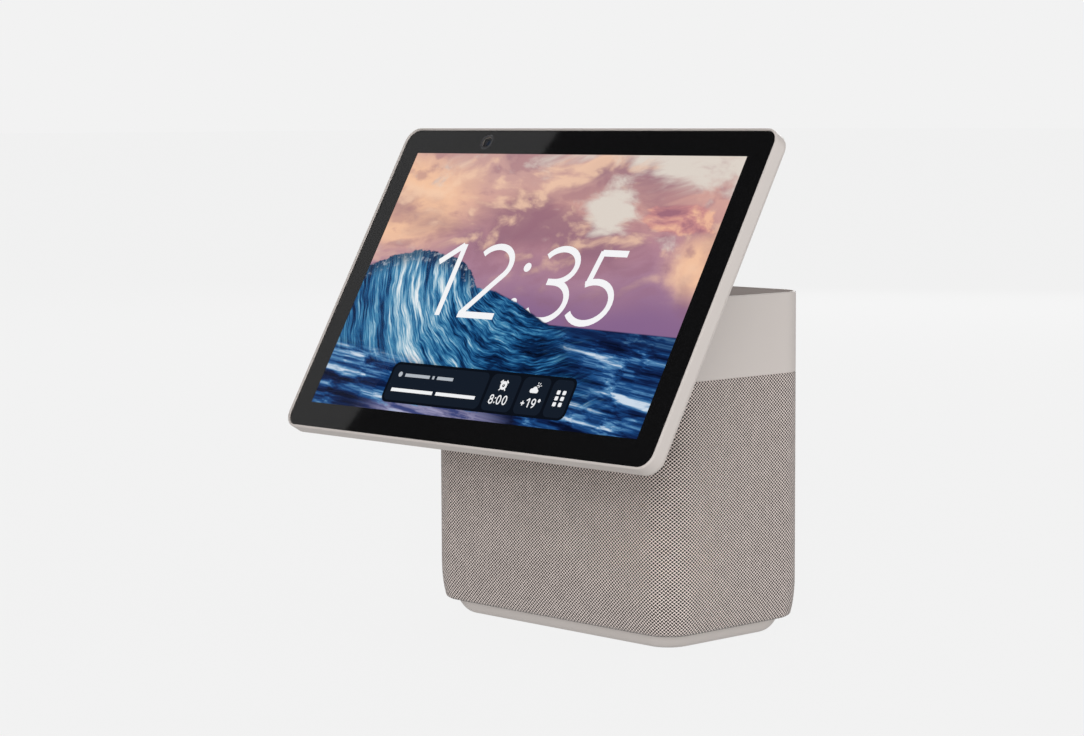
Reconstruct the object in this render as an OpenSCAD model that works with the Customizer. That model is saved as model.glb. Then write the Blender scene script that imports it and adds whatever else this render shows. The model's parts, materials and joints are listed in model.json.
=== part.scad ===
// Smart display: a touch screen on a friction hinge, in front of a cloth-covered speaker base.
// The origin is the centre of the base's footprint on the table. The screen faces -Y, and +Z is up.

/* [Base] */
// Width of the base, left to right
base_w = 162; // [156:1:176]
// Depth of the base, front to back
base_d = 94; // [92:1:104]
// Height of the base above the table
base_h = 158; // [157:1:164]
// Radius of the base's upright corners
base_r = 17; // [15:0.5:20]
// Height at which the cloth ends and the smooth collar starts
collar_z = 121; // [120.5:0.5:123]
// Height of the plastic foot under the cloth
foot_h = 6.3; // [6:0.1:6.6]
// How far the foot's top edge is set in from the base's side
foot_inset = 6; // [5:0.5:7]
// Height at which the cloth starts to curve in towards the foot
skirt_z = 26; // [26:1:30]
// How far the cloth has curved in at its lower edge
skirt_in = 1.85; // [1.2:0.05:2.2]

/* [Display] */
// Width of the picture, a 10.1 inch panel in 16:10
picture_w = 217; // [210:1:217]
// Height of the picture
picture_h = 135.6; // [131:0.2:135.6]
// Width of the black border at the picture's left and right
border = 12.4; // [12:0.1:14]
// Width of the black border above and below the picture
border_end = 12.7; // [12.6:0.1:13]
// Width of the casing's bright rim round the glass
rim = 1; // [0.8:0.1:1.4]
// Depth of the casing's side wall
side_depth = 6.2; // [6.2:0.1:6.4]
// Whole depth of the casing, glass to back
case_depth = 11.4; // [11.4:0.1:11.6]
// Corner radius of the casing
case_r = 8; // [7:0.5:10]
// Camera's place, measured right from the display's middle
cam_u = -62.8; // [-80:0.2:-40]
// Camera's place, measured up from the display's middle
cam_v = 74.2; // [74:0.1:74.4]

/* [Hinge] */
// Lean of the display from upright, at rest
lean = 30.2; // [6:0.1:42]
// Hinge axis, forward of the base's centre
hinge_y = -45; // [-45.5:0.1:-44.5]
// Hinge axis, height above the table
hinge_z = 146; // [145.5:0.1:146]
// Hinge axis, behind the glass
axis_back = 22.3; // [22.2:0.1:23]
// Hinge axis, below the display's middle
axis_drop = 6.1; // [4:0.1:8]
// Radius of the hinge's barrel
barrel_r = 9; // [9:0.1:9.1]
// Radius of the steel shaft
shaft_r = 3.5; // [3:0.1:3.5]

/* [Sound] */
// Height of the woofer's and the radiators' middle
driver_z = 75.5; // [74:0.5:77]
// Distance of each tweeter from the middle
tweeter_x = 52; // [51:0.5:52]
// Height of the tweeters
tweeter_z = 97; // [96:0.5:100]

/* [Power inlet] */
// Radius of the round inlet recess
inlet_r = 6.5; // [6:0.1:7]
// Depth of the inlet recess
inlet_depth = 6.3; // [6:0.1:6.3]
// Height of the inlet above the table
inlet_z = 22; // [22:0.5:24]

/* [Hidden] */

$fn = 96;
eps = 0.1;
greige = [0.76, 0.72, 0.70];
taupe = [0.50, 0.46, 0.44];
cloth = [0.60, 0.56, 0.54];
board_green = [0.06, 0.26, 0.16];
dark = [0.08, 0.08, 0.09];
steel = [0.62, 0.63, 0.65];

// Shell of the base, from the outside in
cloth_t = 0.9;
grille_t = 2.2;
cabinet_inset = 9;
cabinet_wall = 2.6;
cabinet_z = 34;
cabinet_top = 116.2;
gasket_t = 0.8;
lid_t = 3;
lid_z = cabinet_top + gasket_t;
deck_z = lid_z + lid_t;
tray_z = foot_h + 1;
tray_floor = 2.5;
board_z = 14.9;
board_t = 1.6;
pad_inset = 13;
foot_clear = 0.5;
pad_t = 1.4;
collar_wall = 2.6;
plate_t = 1.1;
plate_z = base_h - 0.3 - plate_t;
baffle_y = cabinet_inset - base_d / 2;
side_x = base_w / 2 - cabinet_inset;
foot_screw_at = [for (x = [-50, 50], y = [-22, 22]) [x, y]];
corner_boss_at = [for (x = [-1, 1], y = [-1, 1]) [x * (side_x - 6.5), y * (-baffle_y - 6.5)]];
board_post_at = [for (x = [-24, 24], y = [-30, -16, -6, 34]) [x, y]];
main_post_at = [for (x = [-50, 50], y = [2, 34]) [x, y]];
bracket_screw_at = [for (x = [-36, 36], y = [-26, -13]) [x, y]];

// Display, from its front face back
glass_w = picture_w + 2 * border;
glass_h = picture_h + 2 * border_end;
case_w = glass_w + 2 * rim;
case_h = glass_h + 2 * rim;
glass_r = case_r - rim;
glass_t = 0.9;
film_t = 0.15;
film_back = glass_t + film_t;
lcd_back = film_back + 1.4;
light_back = 4.6;
floor_front = 4.7;
floor_back = 5.7;
top_v = case_h / 2;
top_wall = 1.3;
shelf_v = top_v - 7.5;
proud = 0.6;
cap_front = 2.4;
cap_back = 5.6;
gap = 0.3;
button_at = [18, 38, 58];
cap_w = 12;
shutter_travel = 9.3;
shutter_x = cam_u + shutter_travel;
mic_at = [-100, 100];
case_screw_at = [for (x = [-100, 0, 100], y = [-68, 66]) [x, y]];
plate_screw_at = [for (x = [-42, 42], y = [-27, 9]) [x, y]];

// Hinge, from the middle out
drum_half = 40.6;
lug_in = 33;
lug_out = 39;
ear_in = 43;
ear_out = 46.5;
end_in = 41.2;
end_out = 57;
run_fit = 0.05;
knuckle_r = 7;
shell_t = 1.4;
trough_r = barrel_r + 0.6;
trough_t = 1.2;
neck_up = 5;
neck_down = 8.9;

// ---- Shapes that several pieces share ----

module rounded(w, d, r) {
    square([w - 2 * r, d], center = true);
    square([w, d - 2 * r], center = true);
    for (x = [-1, 1], y = [-1, 1])
        translate([x * (w / 2 - r), y * (d / 2 - r)]) circle(r);
}

// A level slab of the base's plan, set in from its side
module slab(inset, z0, z1) {
    translate([0, 0, z0])
        linear_extrude(z1 - z0)
            rounded(base_w - 2 * inset, base_d - 2 * inset, max(base_r - inset, 2));
}

// An upright panel of the display, w0 to w1 behind the glass's face
module panel(w, h, r, w0, w1) {
    translate([0, w1, 0])
        rotate([90, 0, 0])
            linear_extrude(w1 - w0) rounded(w, h, r);
}

// A box between two corners
module block(a, b) {
    translate(a) cube(b - a);
}

module both_sides() {
    children();
    mirror([1, 0, 0]) children();
}

// A cylinder along X, from x0 to x1
module rod_x(r, x0, x1) {
    translate([x0, 0, 0]) rotate([0, 90, 0]) cylinder(r = r, h = x1 - x0);
}

// A cylinder along Y, from y0 to y1
module rod_y(r, y0, y1) {
    translate([0, y0, 0]) rotate([-90, 0, 0]) cylinder(r = r, h = y1 - y0);
}

// A flat-headed screw that stands on its tip, with its head up
module screw(r, length, head_r, head_h) {
    difference() {
        union() {
            cylinder(r = r, h = length + eps);
            translate([0, 0, length]) cylinder(r = head_r, h = head_h);
        }
        translate([0, 0, length + head_h / 2]) cylinder(r = head_r * 0.45, h = head_h, $fn = 6);
    }
}

module at_hinge() {
    translate([0, hinge_y, hinge_z]) children();
}

// The display's own frame: x right, y back from the glass's face, z up along the glass
module at_display() {
    at_hinge() rotate([-lean, 0, 0]) translate([0, -axis_back, axis_drop]) children();
}

module at_axis() {
    translate([0, axis_back, -axis_drop]) children();
}

// ---- Foot and tray ----

// How far the skirt has curved in at height z
function skirt_inset(z) = skirt_in * pow(max(skirt_z - z, 0) / (skirt_z - skirt_low), 2.2);
skirt_low = 8.5;
roll_steps = 4;
skirt_levels = [
    for (z = [skirt_z, 21, 17, 13, skirt_low]) [z, skirt_inset(z)],
    for (i = [1:roll_steps]) let (a = 90 * i / roll_steps)
        [skirt_low - (skirt_low - foot_h - eps) * sin(a), skirt_in + 3.2 * (1 - cos(a))]
];

module skirt(inset) {
    hull()
        for (level = skirt_levels)
            let (z = max(level[0], foot_h + inset + eps))
                slab(level[1] + inset, z, z + 0.01, $fn = 32);
}

module foot_pad() {
    color(dark) slab(pad_inset, 0, pad_t);
}

module foot_plate() {
    color(greige) difference() {
        union() {
            hull() {
                slab(foot_inset, foot_h - 0.01, foot_h, $fn = 32);
                slab(foot_inset + 2.6, 1.9, 1.91, $fn = 32);
                slab(foot_inset + 3.4, 1, 1.01, $fn = 32);
                slab(foot_inset + 4.8, foot_clear, foot_clear + 0.01, $fn = 32);
            }
            slab(foot_inset + 2.5, foot_h - 1, tray_z);
        }
        slab(pad_inset, 0, pad_t);
        for (at = foot_screw_at)
            translate(at) {
                cylinder(r = 3.2, h = 4);
                cylinder(r = 1.6, h = tray_z + 1);
            }
    }
}

module foot_screws() {
    color(steel)
        for (at = foot_screw_at)
            translate([at[0], at[1], 14]) mirror([0, 0, 1]) screw(1.5, 10, 3, 2);
}

module base_tray() {
    color(dark) difference() {
        union() {
            difference() {
                skirt(cloth_t);
                slab(4.2, tray_z + tray_floor, skirt_z + 1);
            }
            for (at = foot_screw_at)
                translate([at[0], at[1], tray_z]) cylinder(r = 4, h = 8.5);
            for (at = board_post_at)
                translate([at[0], at[1], tray_z]) cylinder(r = 2.4, h = board_z - tray_z);
        }
        for (at = foot_screw_at)
            translate([at[0], at[1], 0]) cylinder(r = 1.5, h = 20);
        translate([0, 0, inlet_z]) rod_y(inlet_r + 2, 30, base_d);
    }
}

// ---- Power inlet and lower boards ----

inlet_face = base_d / 2 + 0.3;
inlet_floor = inlet_face - inlet_depth;

module inlet_bezel() {
    color(dark) translate([0, 0, inlet_z]) difference() {
        union() {
            rod_y(inlet_r + 2, inlet_floor, inlet_face);
            rod_y(inlet_r + 3.1, inlet_face - 0.9, inlet_face);
        }
        rod_y(inlet_r, inlet_floor - 1, inlet_face + 1);
    }
}

module dc_jack() {
    color(dark) translate([0, inlet_floor, inlet_z]) {
        difference() {
            block([-6, -14, board_z + board_t - inlet_z], [6, 0, 5.5]);
            rod_y(2.75, -10, 1);
        }
        rod_y(1.05, -10.5, -0.6);
    }
}

module power_board() {
    color(board_green) difference() {
        block([-28, -10, board_z], [28, inlet_floor - 0.4, board_z + board_t]);
        for (x = [-24, 24], y = [-6, 34])
            translate([x, y, 0]) cylinder(r = 1.4, h = 30);
    }
    color(dark) translate([0, 0, board_z + board_t]) {
        for (x = [-18, 18])
            translate([x, 22, 0]) cylinder(r = 5, h = 9);
        block([-12, 4, 0], [-1, 15, 5]);
        block([4, 4, 0], [12, 12, 2]);
        block([-22, -6, 0], [-8, -1, 4]);
    }
}

module amplifier_board() {
    color(board_green) difference() {
        block([-28, -34, board_z], [28, -12, board_z + board_t]);
        for (x = [-24, 24], y = [-30, -16])
            translate([x, y, 0]) cylinder(r = 1.4, h = 30);
    }
    color(dark) translate([0, 0, board_z + board_t]) {
        for (x = [-12, 0, 12])
            block([x - 3.5, -26, 0], [x + 3.5, -19, 5]);
        block([-18, -18, 0], [18, -13.5, 3]);
    }
}

// ---- Speaker cabinet ----

woofer_r = 36;
woofer_hole = 31;
cone_r = 24;
coil_r = 12.6;
radiator_r = 29;
radiator_plate_r = 20;
tweeter_r = 11;

module at_woofer() {
    translate([0, baffle_y, driver_z]) rotate([90, 0, 0]) children();
}

module at_tweeter() {
    translate([tweeter_x, baffle_y, tweeter_z]) rotate([90, 0, 0]) children();
}

module at_radiator() {
    translate([side_x, 0, driver_z]) rotate([0, 90, 0]) children();
}

module speaker_cabinet() {
    color(dark) difference() {
        union() {
            difference() {
                slab(cabinet_inset, cabinet_z, cabinet_top);
                slab(cabinet_inset + cabinet_wall, cabinet_z + cabinet_wall, cabinet_top + 1);
            }
            intersection() {
                slab(cabinet_inset, cabinet_z, cabinet_top);
                block([-70, baffle_y, cabinet_z], [70, baffle_y + 4.6, cabinet_top]);
            }
            for (at = corner_boss_at)
                translate([at[0], at[1], cabinet_z]) cylinder(r = 4, h = cabinet_top - cabinet_z);
            for (x = [-60, 60], y = [-27, 27])
                translate([x, y, tray_z + tray_floor]) cylinder(r = 3.5, h = cabinet_z - tray_z - 1.5);
        }
        for (at = corner_boss_at)
            translate([at[0], at[1], cabinet_top - 10]) cylinder(r = 1.4, h = 20);
        at_woofer() {
            translate([0, 0, -2]) cylinder(r = woofer_r, h = 5);
            translate([0, 0, -8]) cylinder(r = woofer_hole + 1.6, h = 20);
        }
        both_sides() {
            at_tweeter() translate([0, 0, -13]) cylinder(r = tweeter_r, h = 20);
            at_radiator() {
                translate([0, 0, -1.2]) cylinder(r = radiator_r, h = 5);
                translate([0, 0, -8]) cylinder(r = radiator_r - 2.5, h = 20);
            }
        }
    }
}

module cabinet_gasket() {
    color(dark) difference() {
        slab(cabinet_inset, cabinet_top, lid_z);
        slab(cabinet_inset + cabinet_wall, cabinet_top - 1, lid_z + 1);
        for (at = corner_boss_at)
            translate([at[0], at[1], cabinet_top - 1]) cylinder(r = 1.6, h = 4);
    }
}

module cabinet_lid() {
    color(dark) difference() {
        union() {
            slab(cabinet_inset, lid_z, deck_z);
            for (at = main_post_at)
                translate([at[0], at[1], lid_z]) cylinder(r = 2.6, h = lid_t + 6);
        }
        for (at = corner_boss_at)
            translate([at[0], at[1], lid_z - 1]) cylinder(r = 1.6, h = 9);
        for (at = bracket_screw_at)
            translate([at[0], at[1], lid_z - 1]) cylinder(r = 1.4, h = 9);
    }
}

module cabinet_screws() {
    color(steel)
        for (at = corner_boss_at)
            translate([at[0], at[1], deck_z - 11]) screw(1.4, 11, 2.6, 2);
}

// ---- Grille and cloth ----

module grille_sleeve() {
    slot = 15;
    pitch = 20;
    slot_h = 38;
    color(dark) difference() {
        slab(cloth_t, skirt_z + 0.02, collar_z);
        slab(cloth_t + grille_t, skirt_z - 1, collar_z + 1);
        for (z = [32, 76]) {
            for (x = [-3:3])
                translate([x * pitch - slot / 2, -base_d, z]) cube([slot, 2 * base_d, slot_h]);
            for (y = [-1:1])
                translate([-base_w, y * pitch - slot / 2, z]) cube([2 * base_w, slot, slot_h]);
        }
        translate([0, 0, inlet_z]) rod_y(inlet_r + 2, 30, base_d);
    }
}

module fabric_sleeve() {
    color(cloth) difference() {
        union() {
            skirt(0);
            slab(0, skirt_z, collar_z);
        }
        skirt(cloth_t);
        slab(cloth_t, skirt_z, collar_z + 1);
        slab(foot_inset + 1, 0, skirt_z);
        translate([0, 0, inlet_z]) rod_y(inlet_r + 3.2, 30, base_d);
    }
}

// ---- Drivers, each drawn facing +Z from its mounting face at z = 0 ----

module woofer_basket() {
    color(steel) at_woofer() difference() {
        rotate_extrude()
            polygon([[woofer_hole, -2], [woofer_hole, 0], [woofer_r, 0], [woofer_r, -2],
                     [woofer_hole + 1.4, -2], [woofer_hole + 1.4, -2.6],
                     [22.5, -18.4], [22.5, -20], [14.2, -20],
                     [14.2, -18.4], [20.5, -18.4], [woofer_hole - 0.4, -2.6]]);
        for (a = [45:90:315])
            rotate(a) translate([23.4, -7, -17]) cube([12, 14, 12]);
    }
}

module woofer_magnet() {
    color(steel) at_woofer() {
        rotate_extrude()
            polygon([[0, -34], [20, -34], [20, -32], [25, -32], [25, -24], [20, -24],
                     [20, -20], [13.4, -20], [13.4, -24], [15.5, -24], [15.5, -31],
                     [11.9, -31], [11.9, -20.5], [0, -20.5]]);
    }
}

module half_roll(mid_r, roll_r, t) {
    rotate_extrude()
        translate([mid_r, 0]) intersection() {
            difference() {
                circle(roll_r, $fn = 48);
                circle(roll_r - t, $fn = 48);
            }
            translate([-roll_r, 0]) square([2 * roll_r, roll_r]);
        }
}

module woofer_surround() {
    color(dark) at_woofer() translate([0, 0, -2]) half_roll(27.6, 3.3, 0.7);
}

module woofer_spider() {
    color([0.75, 0.6, 0.2]) at_woofer()
        rotate_extrude()
            polygon([[13.3, -17.4], [15, -16.8], [17, -17.4], [19, -16.8], [20.2, -17],
                     [20.2, -17.4], [19, -17.2], [17, -17.8], [15, -17.2], [13.3, -17.8]]);
}

module woofer_cone() {
    color([0.12, 0.12, 0.13]) at_woofer()
        rotate_extrude()
            polygon([[0, -7.2], [6, -7.8], [10, -9.4], [coil_r, -11.6], [cone_r - 1.5, -1.4],
                     [cone_r, -1.4], [cone_r, -2.4], [cone_r - 1, -2.4], [coil_r + 0.3, -12.8],
                     [coil_r + 0.3, -27], [coil_r - 0.3, -27], [coil_r - 0.3, -12.4],
                     [10, -10.2], [6, -8.6], [0, -8]]);
}

module tweeter() {
    color(steel) at_tweeter() difference() {
        translate([0, 0, -12]) cylinder(r = tweeter_r, h = 12);
        translate([0, 0, -3]) cylinder(r = 7.5, h = 5);
    }
}

module tweeter_dome() {
    color(dark) at_tweeter()
        rotate_extrude()
            polygon([[0, -0.9], [2, -1.05], [4, -1.5], [5.6, -2], [6.8, -2], [6.8, -2.4],
                     [5.4, -2.4], [4, -1.9], [2, -1.5], [0, -1.3]]);
}

module tweeter_right() { tweeter(); }
module tweeter_left() { mirror([1, 0, 0]) tweeter(); }
module tweeter_dome_right() { tweeter_dome(); }
module tweeter_dome_left() { mirror([1, 0, 0]) tweeter_dome(); }

module radiator_surround() {
    color(dark) at_radiator() {
        translate([0, 0, -1.2]) half_roll(23.3, 3, 0.7);
        difference() {
            translate([0, 0, -1.2]) cylinder(r = radiator_r, h = 1.2);
            translate([0, 0, -2]) cylinder(r = 26.1, h = 3);
        }
    }
}

module radiator_plate() {
    color(steel) at_radiator() {
        translate([0, 0, -2.2]) cylinder(r = radiator_plate_r, h = 2);
        translate([0, 0, -5.6]) cylinder(r = 13, h = 3.5);
    }
}

module radiator_surround_right() { radiator_surround(); }
module radiator_surround_left() { mirror([1, 0, 0]) radiator_surround(); }
module radiator_plate_right() { radiator_plate(); }
module radiator_plate_left() { mirror([1, 0, 0]) radiator_plate(); }

// ---- Collar, top plate and the hinge's fixed side ----

module collar() {
    ledge_z = plate_z - 1.4;
    color(greige) difference() {
        union() {
            difference() {
                slab(0, collar_z, base_h);
                slab(collar_wall, collar_z - 1, ledge_z);
                slab(4.2, collar_z, plate_z + 1);
                slab(1.2, plate_z, base_h + 1);
            }
            // the lip that plugs into the grille, and the shelf that carries it
            difference() {
                union() {
                    slab(collar_wall - eps, collar_z, collar_z + 2);
                    slab(cloth_t + grille_t + 0.1, collar_z - 3.5, collar_z + eps);
                }
                slab(cloth_t + grille_t + 1.7, collar_z - 4, collar_z + 3);
            }
            at_hinge() both_sides() rod_x(barrel_r, end_in, end_out);
        }
        at_hinge() {
            rod_x(trough_r, -end_in, end_in);
            both_sides() {
                rod_x(barrel_r - shell_t, end_in + shell_t, end_out - shell_t);
                rod_x(shaft_r + 0.5, end_in - 1, end_in + 2);
                rod_x(knuckle_r, end_in - 1, end_in + 2);
                block([ear_in - 0.4, 0, -knuckle_r - 0.2], [ear_out + 0.4, 12, knuckle_r + 0.2]);
            }
        }
    }
}

module top_plate() {
    color(taupe) slab(1.3, plate_z, plate_z + plate_t);
}

module hinge_trough() {
    color(dark) at_hinge() difference() {
        intersection() {
            rod_x(trough_r + trough_t, -end_in + eps, end_in - eps);
            block([-50, -base_d / 2 + collar_wall - hinge_y + 0.1, -14],
                  [50, 14, plate_z - 1.5 - hinge_z]);
        }
        rod_x(trough_r, -60, 60);
        block([-9, 4, -3], [9, 14, 4]);
    }
}

module base_hinge_bracket() {
    color(steel) difference() {
        union() {
            at_hinge() both_sides() {
                rod_x(knuckle_r, ear_in, ear_out);
                block([ear_in, 0, -knuckle_r + 0.5], [ear_out, 13, knuckle_r - 0.5]);
            }
            block([-47, -33.2, deck_z], [47, -31, 153]);
            block([-47, -33.2, deck_z], [47, -8, deck_z + 2.2]);
        }
        at_hinge() rod_x(shaft_r, -60, 60);
        block([-12, -40, 128], [12, -20, 150]);
        for (x = [-28, 28])
            translate([x, 0, 140]) rod_y(7, -40, -20);
        for (at = bracket_screw_at)
            translate([at[0], at[1], deck_z - 1]) cylinder(r = 1.6, h = 6);
    }
}

module base_bracket_screws() {
    color(steel)
        for (at = bracket_screw_at)
            translate([at[0], at[1], lid_z + 0.3]) screw(1.4, deck_z + 2.2 - lid_z - 0.3, 2.8, 2);
}

module hinge_shaft() {
    color(steel) at_hinge() rod_x(shaft_r, -52.5, 52.5);
}

module washer_pair(r, x0, x1) {
    color(steel) at_hinge() both_sides() difference() {
        rod_x(r, x0, x1);
        rod_x(shaft_r, x0 - 1, x1 + 1);
    }
}

module friction_washers() {
    washer_pair(6.6, lug_out + gap, ear_in);
}

module spring_washers() {
    color(steel) at_hinge() both_sides()
        translate([ear_out, 0, 0]) rotate([0, 90, 0])
            rotate_extrude()
                polygon([[shaft_r, 1.4], [6.6, 0], [6.6, 1.1], [shaft_r, 2.6]]);
}

module hinge_nuts() {
    color(steel) at_hinge() both_sides() difference() {
        translate([ear_out + 2.6, 0, 0]) rotate([0, 90, 0]) cylinder(r = 6.2, h = 3.4, $fn = 6);
        rod_x(shaft_r, 40, 60);
    }
}

// ---- Upper electronics ----

main_z = deck_z + 6;

module main_board() {
    color(board_green) difference() {
        block([-55, -3, main_z], [55, 38, main_z + board_t]);
        for (at = main_post_at)
            translate([at[0], at[1], 0]) cylinder(r = 1.4, h = 200);
    }
    color(dark) translate([0, 0, main_z + board_t]) {
        block([-9, 9, 0], [9, 27, 2]);
        block([20, 10, 0], [38, 26, 2.5]);
        block([-40, 12, 0], [-22, 24, 2]);
        block([-9, -2, 0], [9, 3, 2]);
    }
}

module heat_sink() {
    fins = 9;
    z0 = main_z + board_t + 2;
    color([0.7, 0.7, 0.72]) {
        block([-18, 4, z0], [18, 34, z0 + 3]);
        for (i = [0:fins - 1])
            translate([-18 + i * (36 - 1.2) / (fins - 1), 4, z0 + 2.9]) cube([1.2, 30, 12]);
    }
}

module wifi_antennas() {
    color(board_green) both_sides()
        block([base_w / 2 - collar_wall - 1.4, -12, 130], [base_w / 2 - collar_wall - 0.4, 12, 150]);
}

// A flat cable from the main board to the slot behind the hinge's barrel
module ribbon_cable() {
    path = [[-1, main_z + board_t + 2.2], [-18, 133], [-28, 141], [hinge_y + trough_r, hinge_z + 0.5]];
    color([0.75, 0.45, 0.12])
        for (i = [0:len(path) - 2])
            hull()
                for (p = [path[i], path[i + 1]])
                    translate([0, p[0], p[1]]) rod_x(0.25, -8, 8, $fn = 16);
}

// ---- Display, drawn in its own frame ----

module cover_glass() {
    color([0.1, 0.1, 0.11]) at_display()
        panel(glass_w - 0.1, glass_h - 0.1, glass_r, 0, glass_t);
}

module border_film() {
    color([0.02, 0.02, 0.02]) at_display() difference() {
        panel(glass_w - 0.1, glass_h - 0.1, glass_r, glass_t, film_back);
        block([-picture_w / 2, 0, -picture_h / 2], [picture_w / 2, 2, picture_h / 2]);
        translate([cam_u, 0, cam_v]) rod_y(2.6, 0, 2);
    }
}

module lcd_panel() {
    color([0.25, 0.35, 0.5]) at_display()
        panel(picture_w + 5, picture_h + 5, 1, film_back, lcd_back);
}

module backlight_unit() {
    color([0.85, 0.85, 0.85]) at_display()
        panel(picture_w + 7, picture_h + 6.6, 1.5, lcd_back, light_back);
}

module display_frame() {
    color(greige) at_display() difference() {
        panel(case_w, case_h, case_r, 0, side_depth);
        panel(glass_w, glass_h, glass_r, -1, film_back);
        panel(picture_w + 7.6, picture_h + 7.2, 2, 0, floor_front);
        panel(case_w - 6, case_h - 6, 5, floor_back, side_depth + 1);
        // room for the button board, the three buttons' flanges and their caps
        block([button_at[0] - 10, 2, shelf_v], [button_at[2] + 10, 5.9, top_v - top_wall]);
        for (x = button_at)
            block([x - cap_w / 2 - gap, cap_front - gap, shelf_v],
                  [x + cap_w / 2 + gap, cap_back + gap, top_v + 1]);
        // room for the camera, and for the shutter's blade, arm and knob
        block([cam_u - 6.5, 0.5, cam_v - 3.2], [cam_u + 16.5, 2.6, top_v - top_wall]);
        block([cam_u - 4.6, 2, cam_v - 3.1], [cam_u + 4.6, side_depth + 1, cam_v + 2.8]);
        block([cam_u - 5, 2, cam_v + 3], [cam_u + 15, 5.8, top_v - top_wall]);
        block([cam_u - 3.5 - gap, cap_front - gap, top_v - 3],
              [shutter_x + 3.5 + gap, cap_back - 0.2 + gap, top_v + 1]);
        for (x = mic_at) {
            block([x - 5.3, 2.6, shelf_v], [x + 5.3, 5.8, top_v - 3]);
            translate([x, 4.2, shelf_v]) cylinder(r = 0.6, h = 10, $fn = 24);
        }
        for (at = case_screw_at)
            translate([at[0], 0, at[1]]) {
                rod_y(2.4, floor_front - 1, floor_front + 0.6);
                rod_y(1.2, floor_front - 1, floor_back + 1);
            }
        for (at = plate_screw_at)
            translate([at[0], 0, at[1]]) rod_y(1.4, floor_front - 1, floor_back + 1);
    }
}

// How far the rear cover is set in from the casing's outline, at each depth: [depth, inset]
back_roll = 2;
back_levels = [
    [side_depth + 0.01, 0],
    for (a = [22.5:22.5:90]) [side_depth + back_roll * sin(a), back_roll * (1 - cos(a))],
    [case_depth - 0.8, 5.2],
    [case_depth, 9]
];

module display_rear_cover() {
    inner = case_depth - 1.5;
    color(greige) at_display() difference() {
        union() {
            difference() {
                hull()
                    for (level = back_levels)
                        panel(case_w - 2 * level[1], case_h - 2 * level[1], case_r,
                              level[0] - 0.01, level[0], $fn = 32);
                panel(case_w - 6.8, case_h - 6.8, 5, side_depth - 1, 7.6);
                panel(case_w - 13, case_h - 13, 5, 7, inner);
            }
            for (at = case_screw_at)
                translate([at[0], 0, at[1]]) rod_y(2.6, floor_back, inner + 0.5);
        }
        for (at = case_screw_at)
            translate([at[0], 0, at[1]]) rod_y(1, floor_back - 1, inner);
        // slots for the hinge's lugs and the ribbon cable
        both_sides()
            block([lug_in - 0.5, 8, -axis_drop - 6.5], [lug_out + 0.4, 20, -axis_drop + 3.6]);
        block([-9, 8, -axis_drop - 4], [9, 20, -axis_drop + 3]);
    }
}

module display_screws() {
    color(steel) at_display()
        for (at = case_screw_at)
            translate([at[0], 8.9, at[1]]) rotate([90, 0, 0]) screw(1, 3.6, 2.2, 0.5);
}

module display_hinge_bracket() {
    color(steel) at_display() difference() {
        union() {
            block([-47, floor_back, -31], [47, 7.3, 13]);
            both_sides() {
                block([lug_in, 7, -axis_drop - 6], [lug_out, axis_back, -axis_drop + 3.2]);
                at_axis() rod_x(knuckle_r, lug_in, lug_out);
            }
        }
        at_axis() rod_x(shaft_r + run_fit, -60, 60);
        for (at = plate_screw_at)
            translate([at[0], 0, at[1]]) rod_y(1.6, 0, 10);
    }
}

module display_bracket_screws() {
    color(steel) at_display()
        for (at = plate_screw_at)
            translate([at[0], 4.8, at[1]]) rotate([-90, 0, 0]) screw(1.4, 2.5, 2.6, 1.4);
}

module hinge_barrel_cover() {
    color(greige) at_display() difference() {
        union() {
            at_axis() rod_x(barrel_r, -drum_half, drum_half);
            block([-drum_half, case_depth, -axis_drop - neck_down], [drum_half, axis_back, -axis_drop + neck_up]);
        }
        at_axis() {
            rod_x(barrel_r - shell_t, -drum_half + shell_t, drum_half - shell_t);
            rod_x(knuckle_r, -60, 60);
            block([-8.6, 2, -4], [8.6, 12, 4]);
        }
        block([-drum_half + shell_t, 0, -axis_drop - neck_down + shell_t],
              [drum_half - shell_t, axis_back, -axis_drop + neck_up - shell_t]);
    }
}

module display_board() {
    color(board_green) at_display() block([-104, floor_back, -52], [-56, floor_back + 1.2, 18]);
    color(dark) at_display() translate([0, floor_back + 1.2, 0]) {
        block([-92, 0, -20], [-76, 1.4, -4]);
        block([-98, 0, -44], [-86, 1.4, -34]);
        block([-72, 0, -6], [-60, 2, 0]);
    }
}

module camera_module() {
    color(dark) at_display() translate([cam_u, 0, cam_v]) difference() {
        union() {
            block([-4.2, 3, -2.7], [4.2, 7.2, 2.7]);
            rod_y(2.6, 1.95, 3.1);
        }
        rod_y(1.7, 1, 2.8);
    }
}

module camera_lens() {
    color([0.1, 0.12, 0.3]) at_display() translate([cam_u, 0, cam_v]) rod_y(1.7, 2.1, 2.8);
}

module camera_shutter() {
    color(dark) at_display() translate([shutter_x, 0, 0]) {
        block([-4.4, 1.35, cam_v - 2.9], [6, 1.75, top_v - top_wall - gap]);
        block([-4.4, 1.6, cam_v + 3.3], [4.6, cap_back - 0.2, top_v - top_wall - gap]);
        block([-3.5, cap_front, top_v - 2], [3.5, cap_back - 0.2, top_v + proud]);
    }
}

module button_board() {
    color(board_green) at_display()
        block([button_at[0] - 9, 2.3, shelf_v + eps], [button_at[2] + 9, 5.7, shelf_v + 1.1]);
    color(dark) at_display()
        for (x = button_at)
            block([x - 2, 2.6, shelf_v + 1.1], [x + 2, 5.4, shelf_v + 2.6]);
}

module microphone_boards() {
    color(board_green) at_display()
        for (x = mic_at)
            block([x - 5, 2.9, top_v - 4.5], [x + 5, 5.6, top_v - 3.1]);
}

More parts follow.
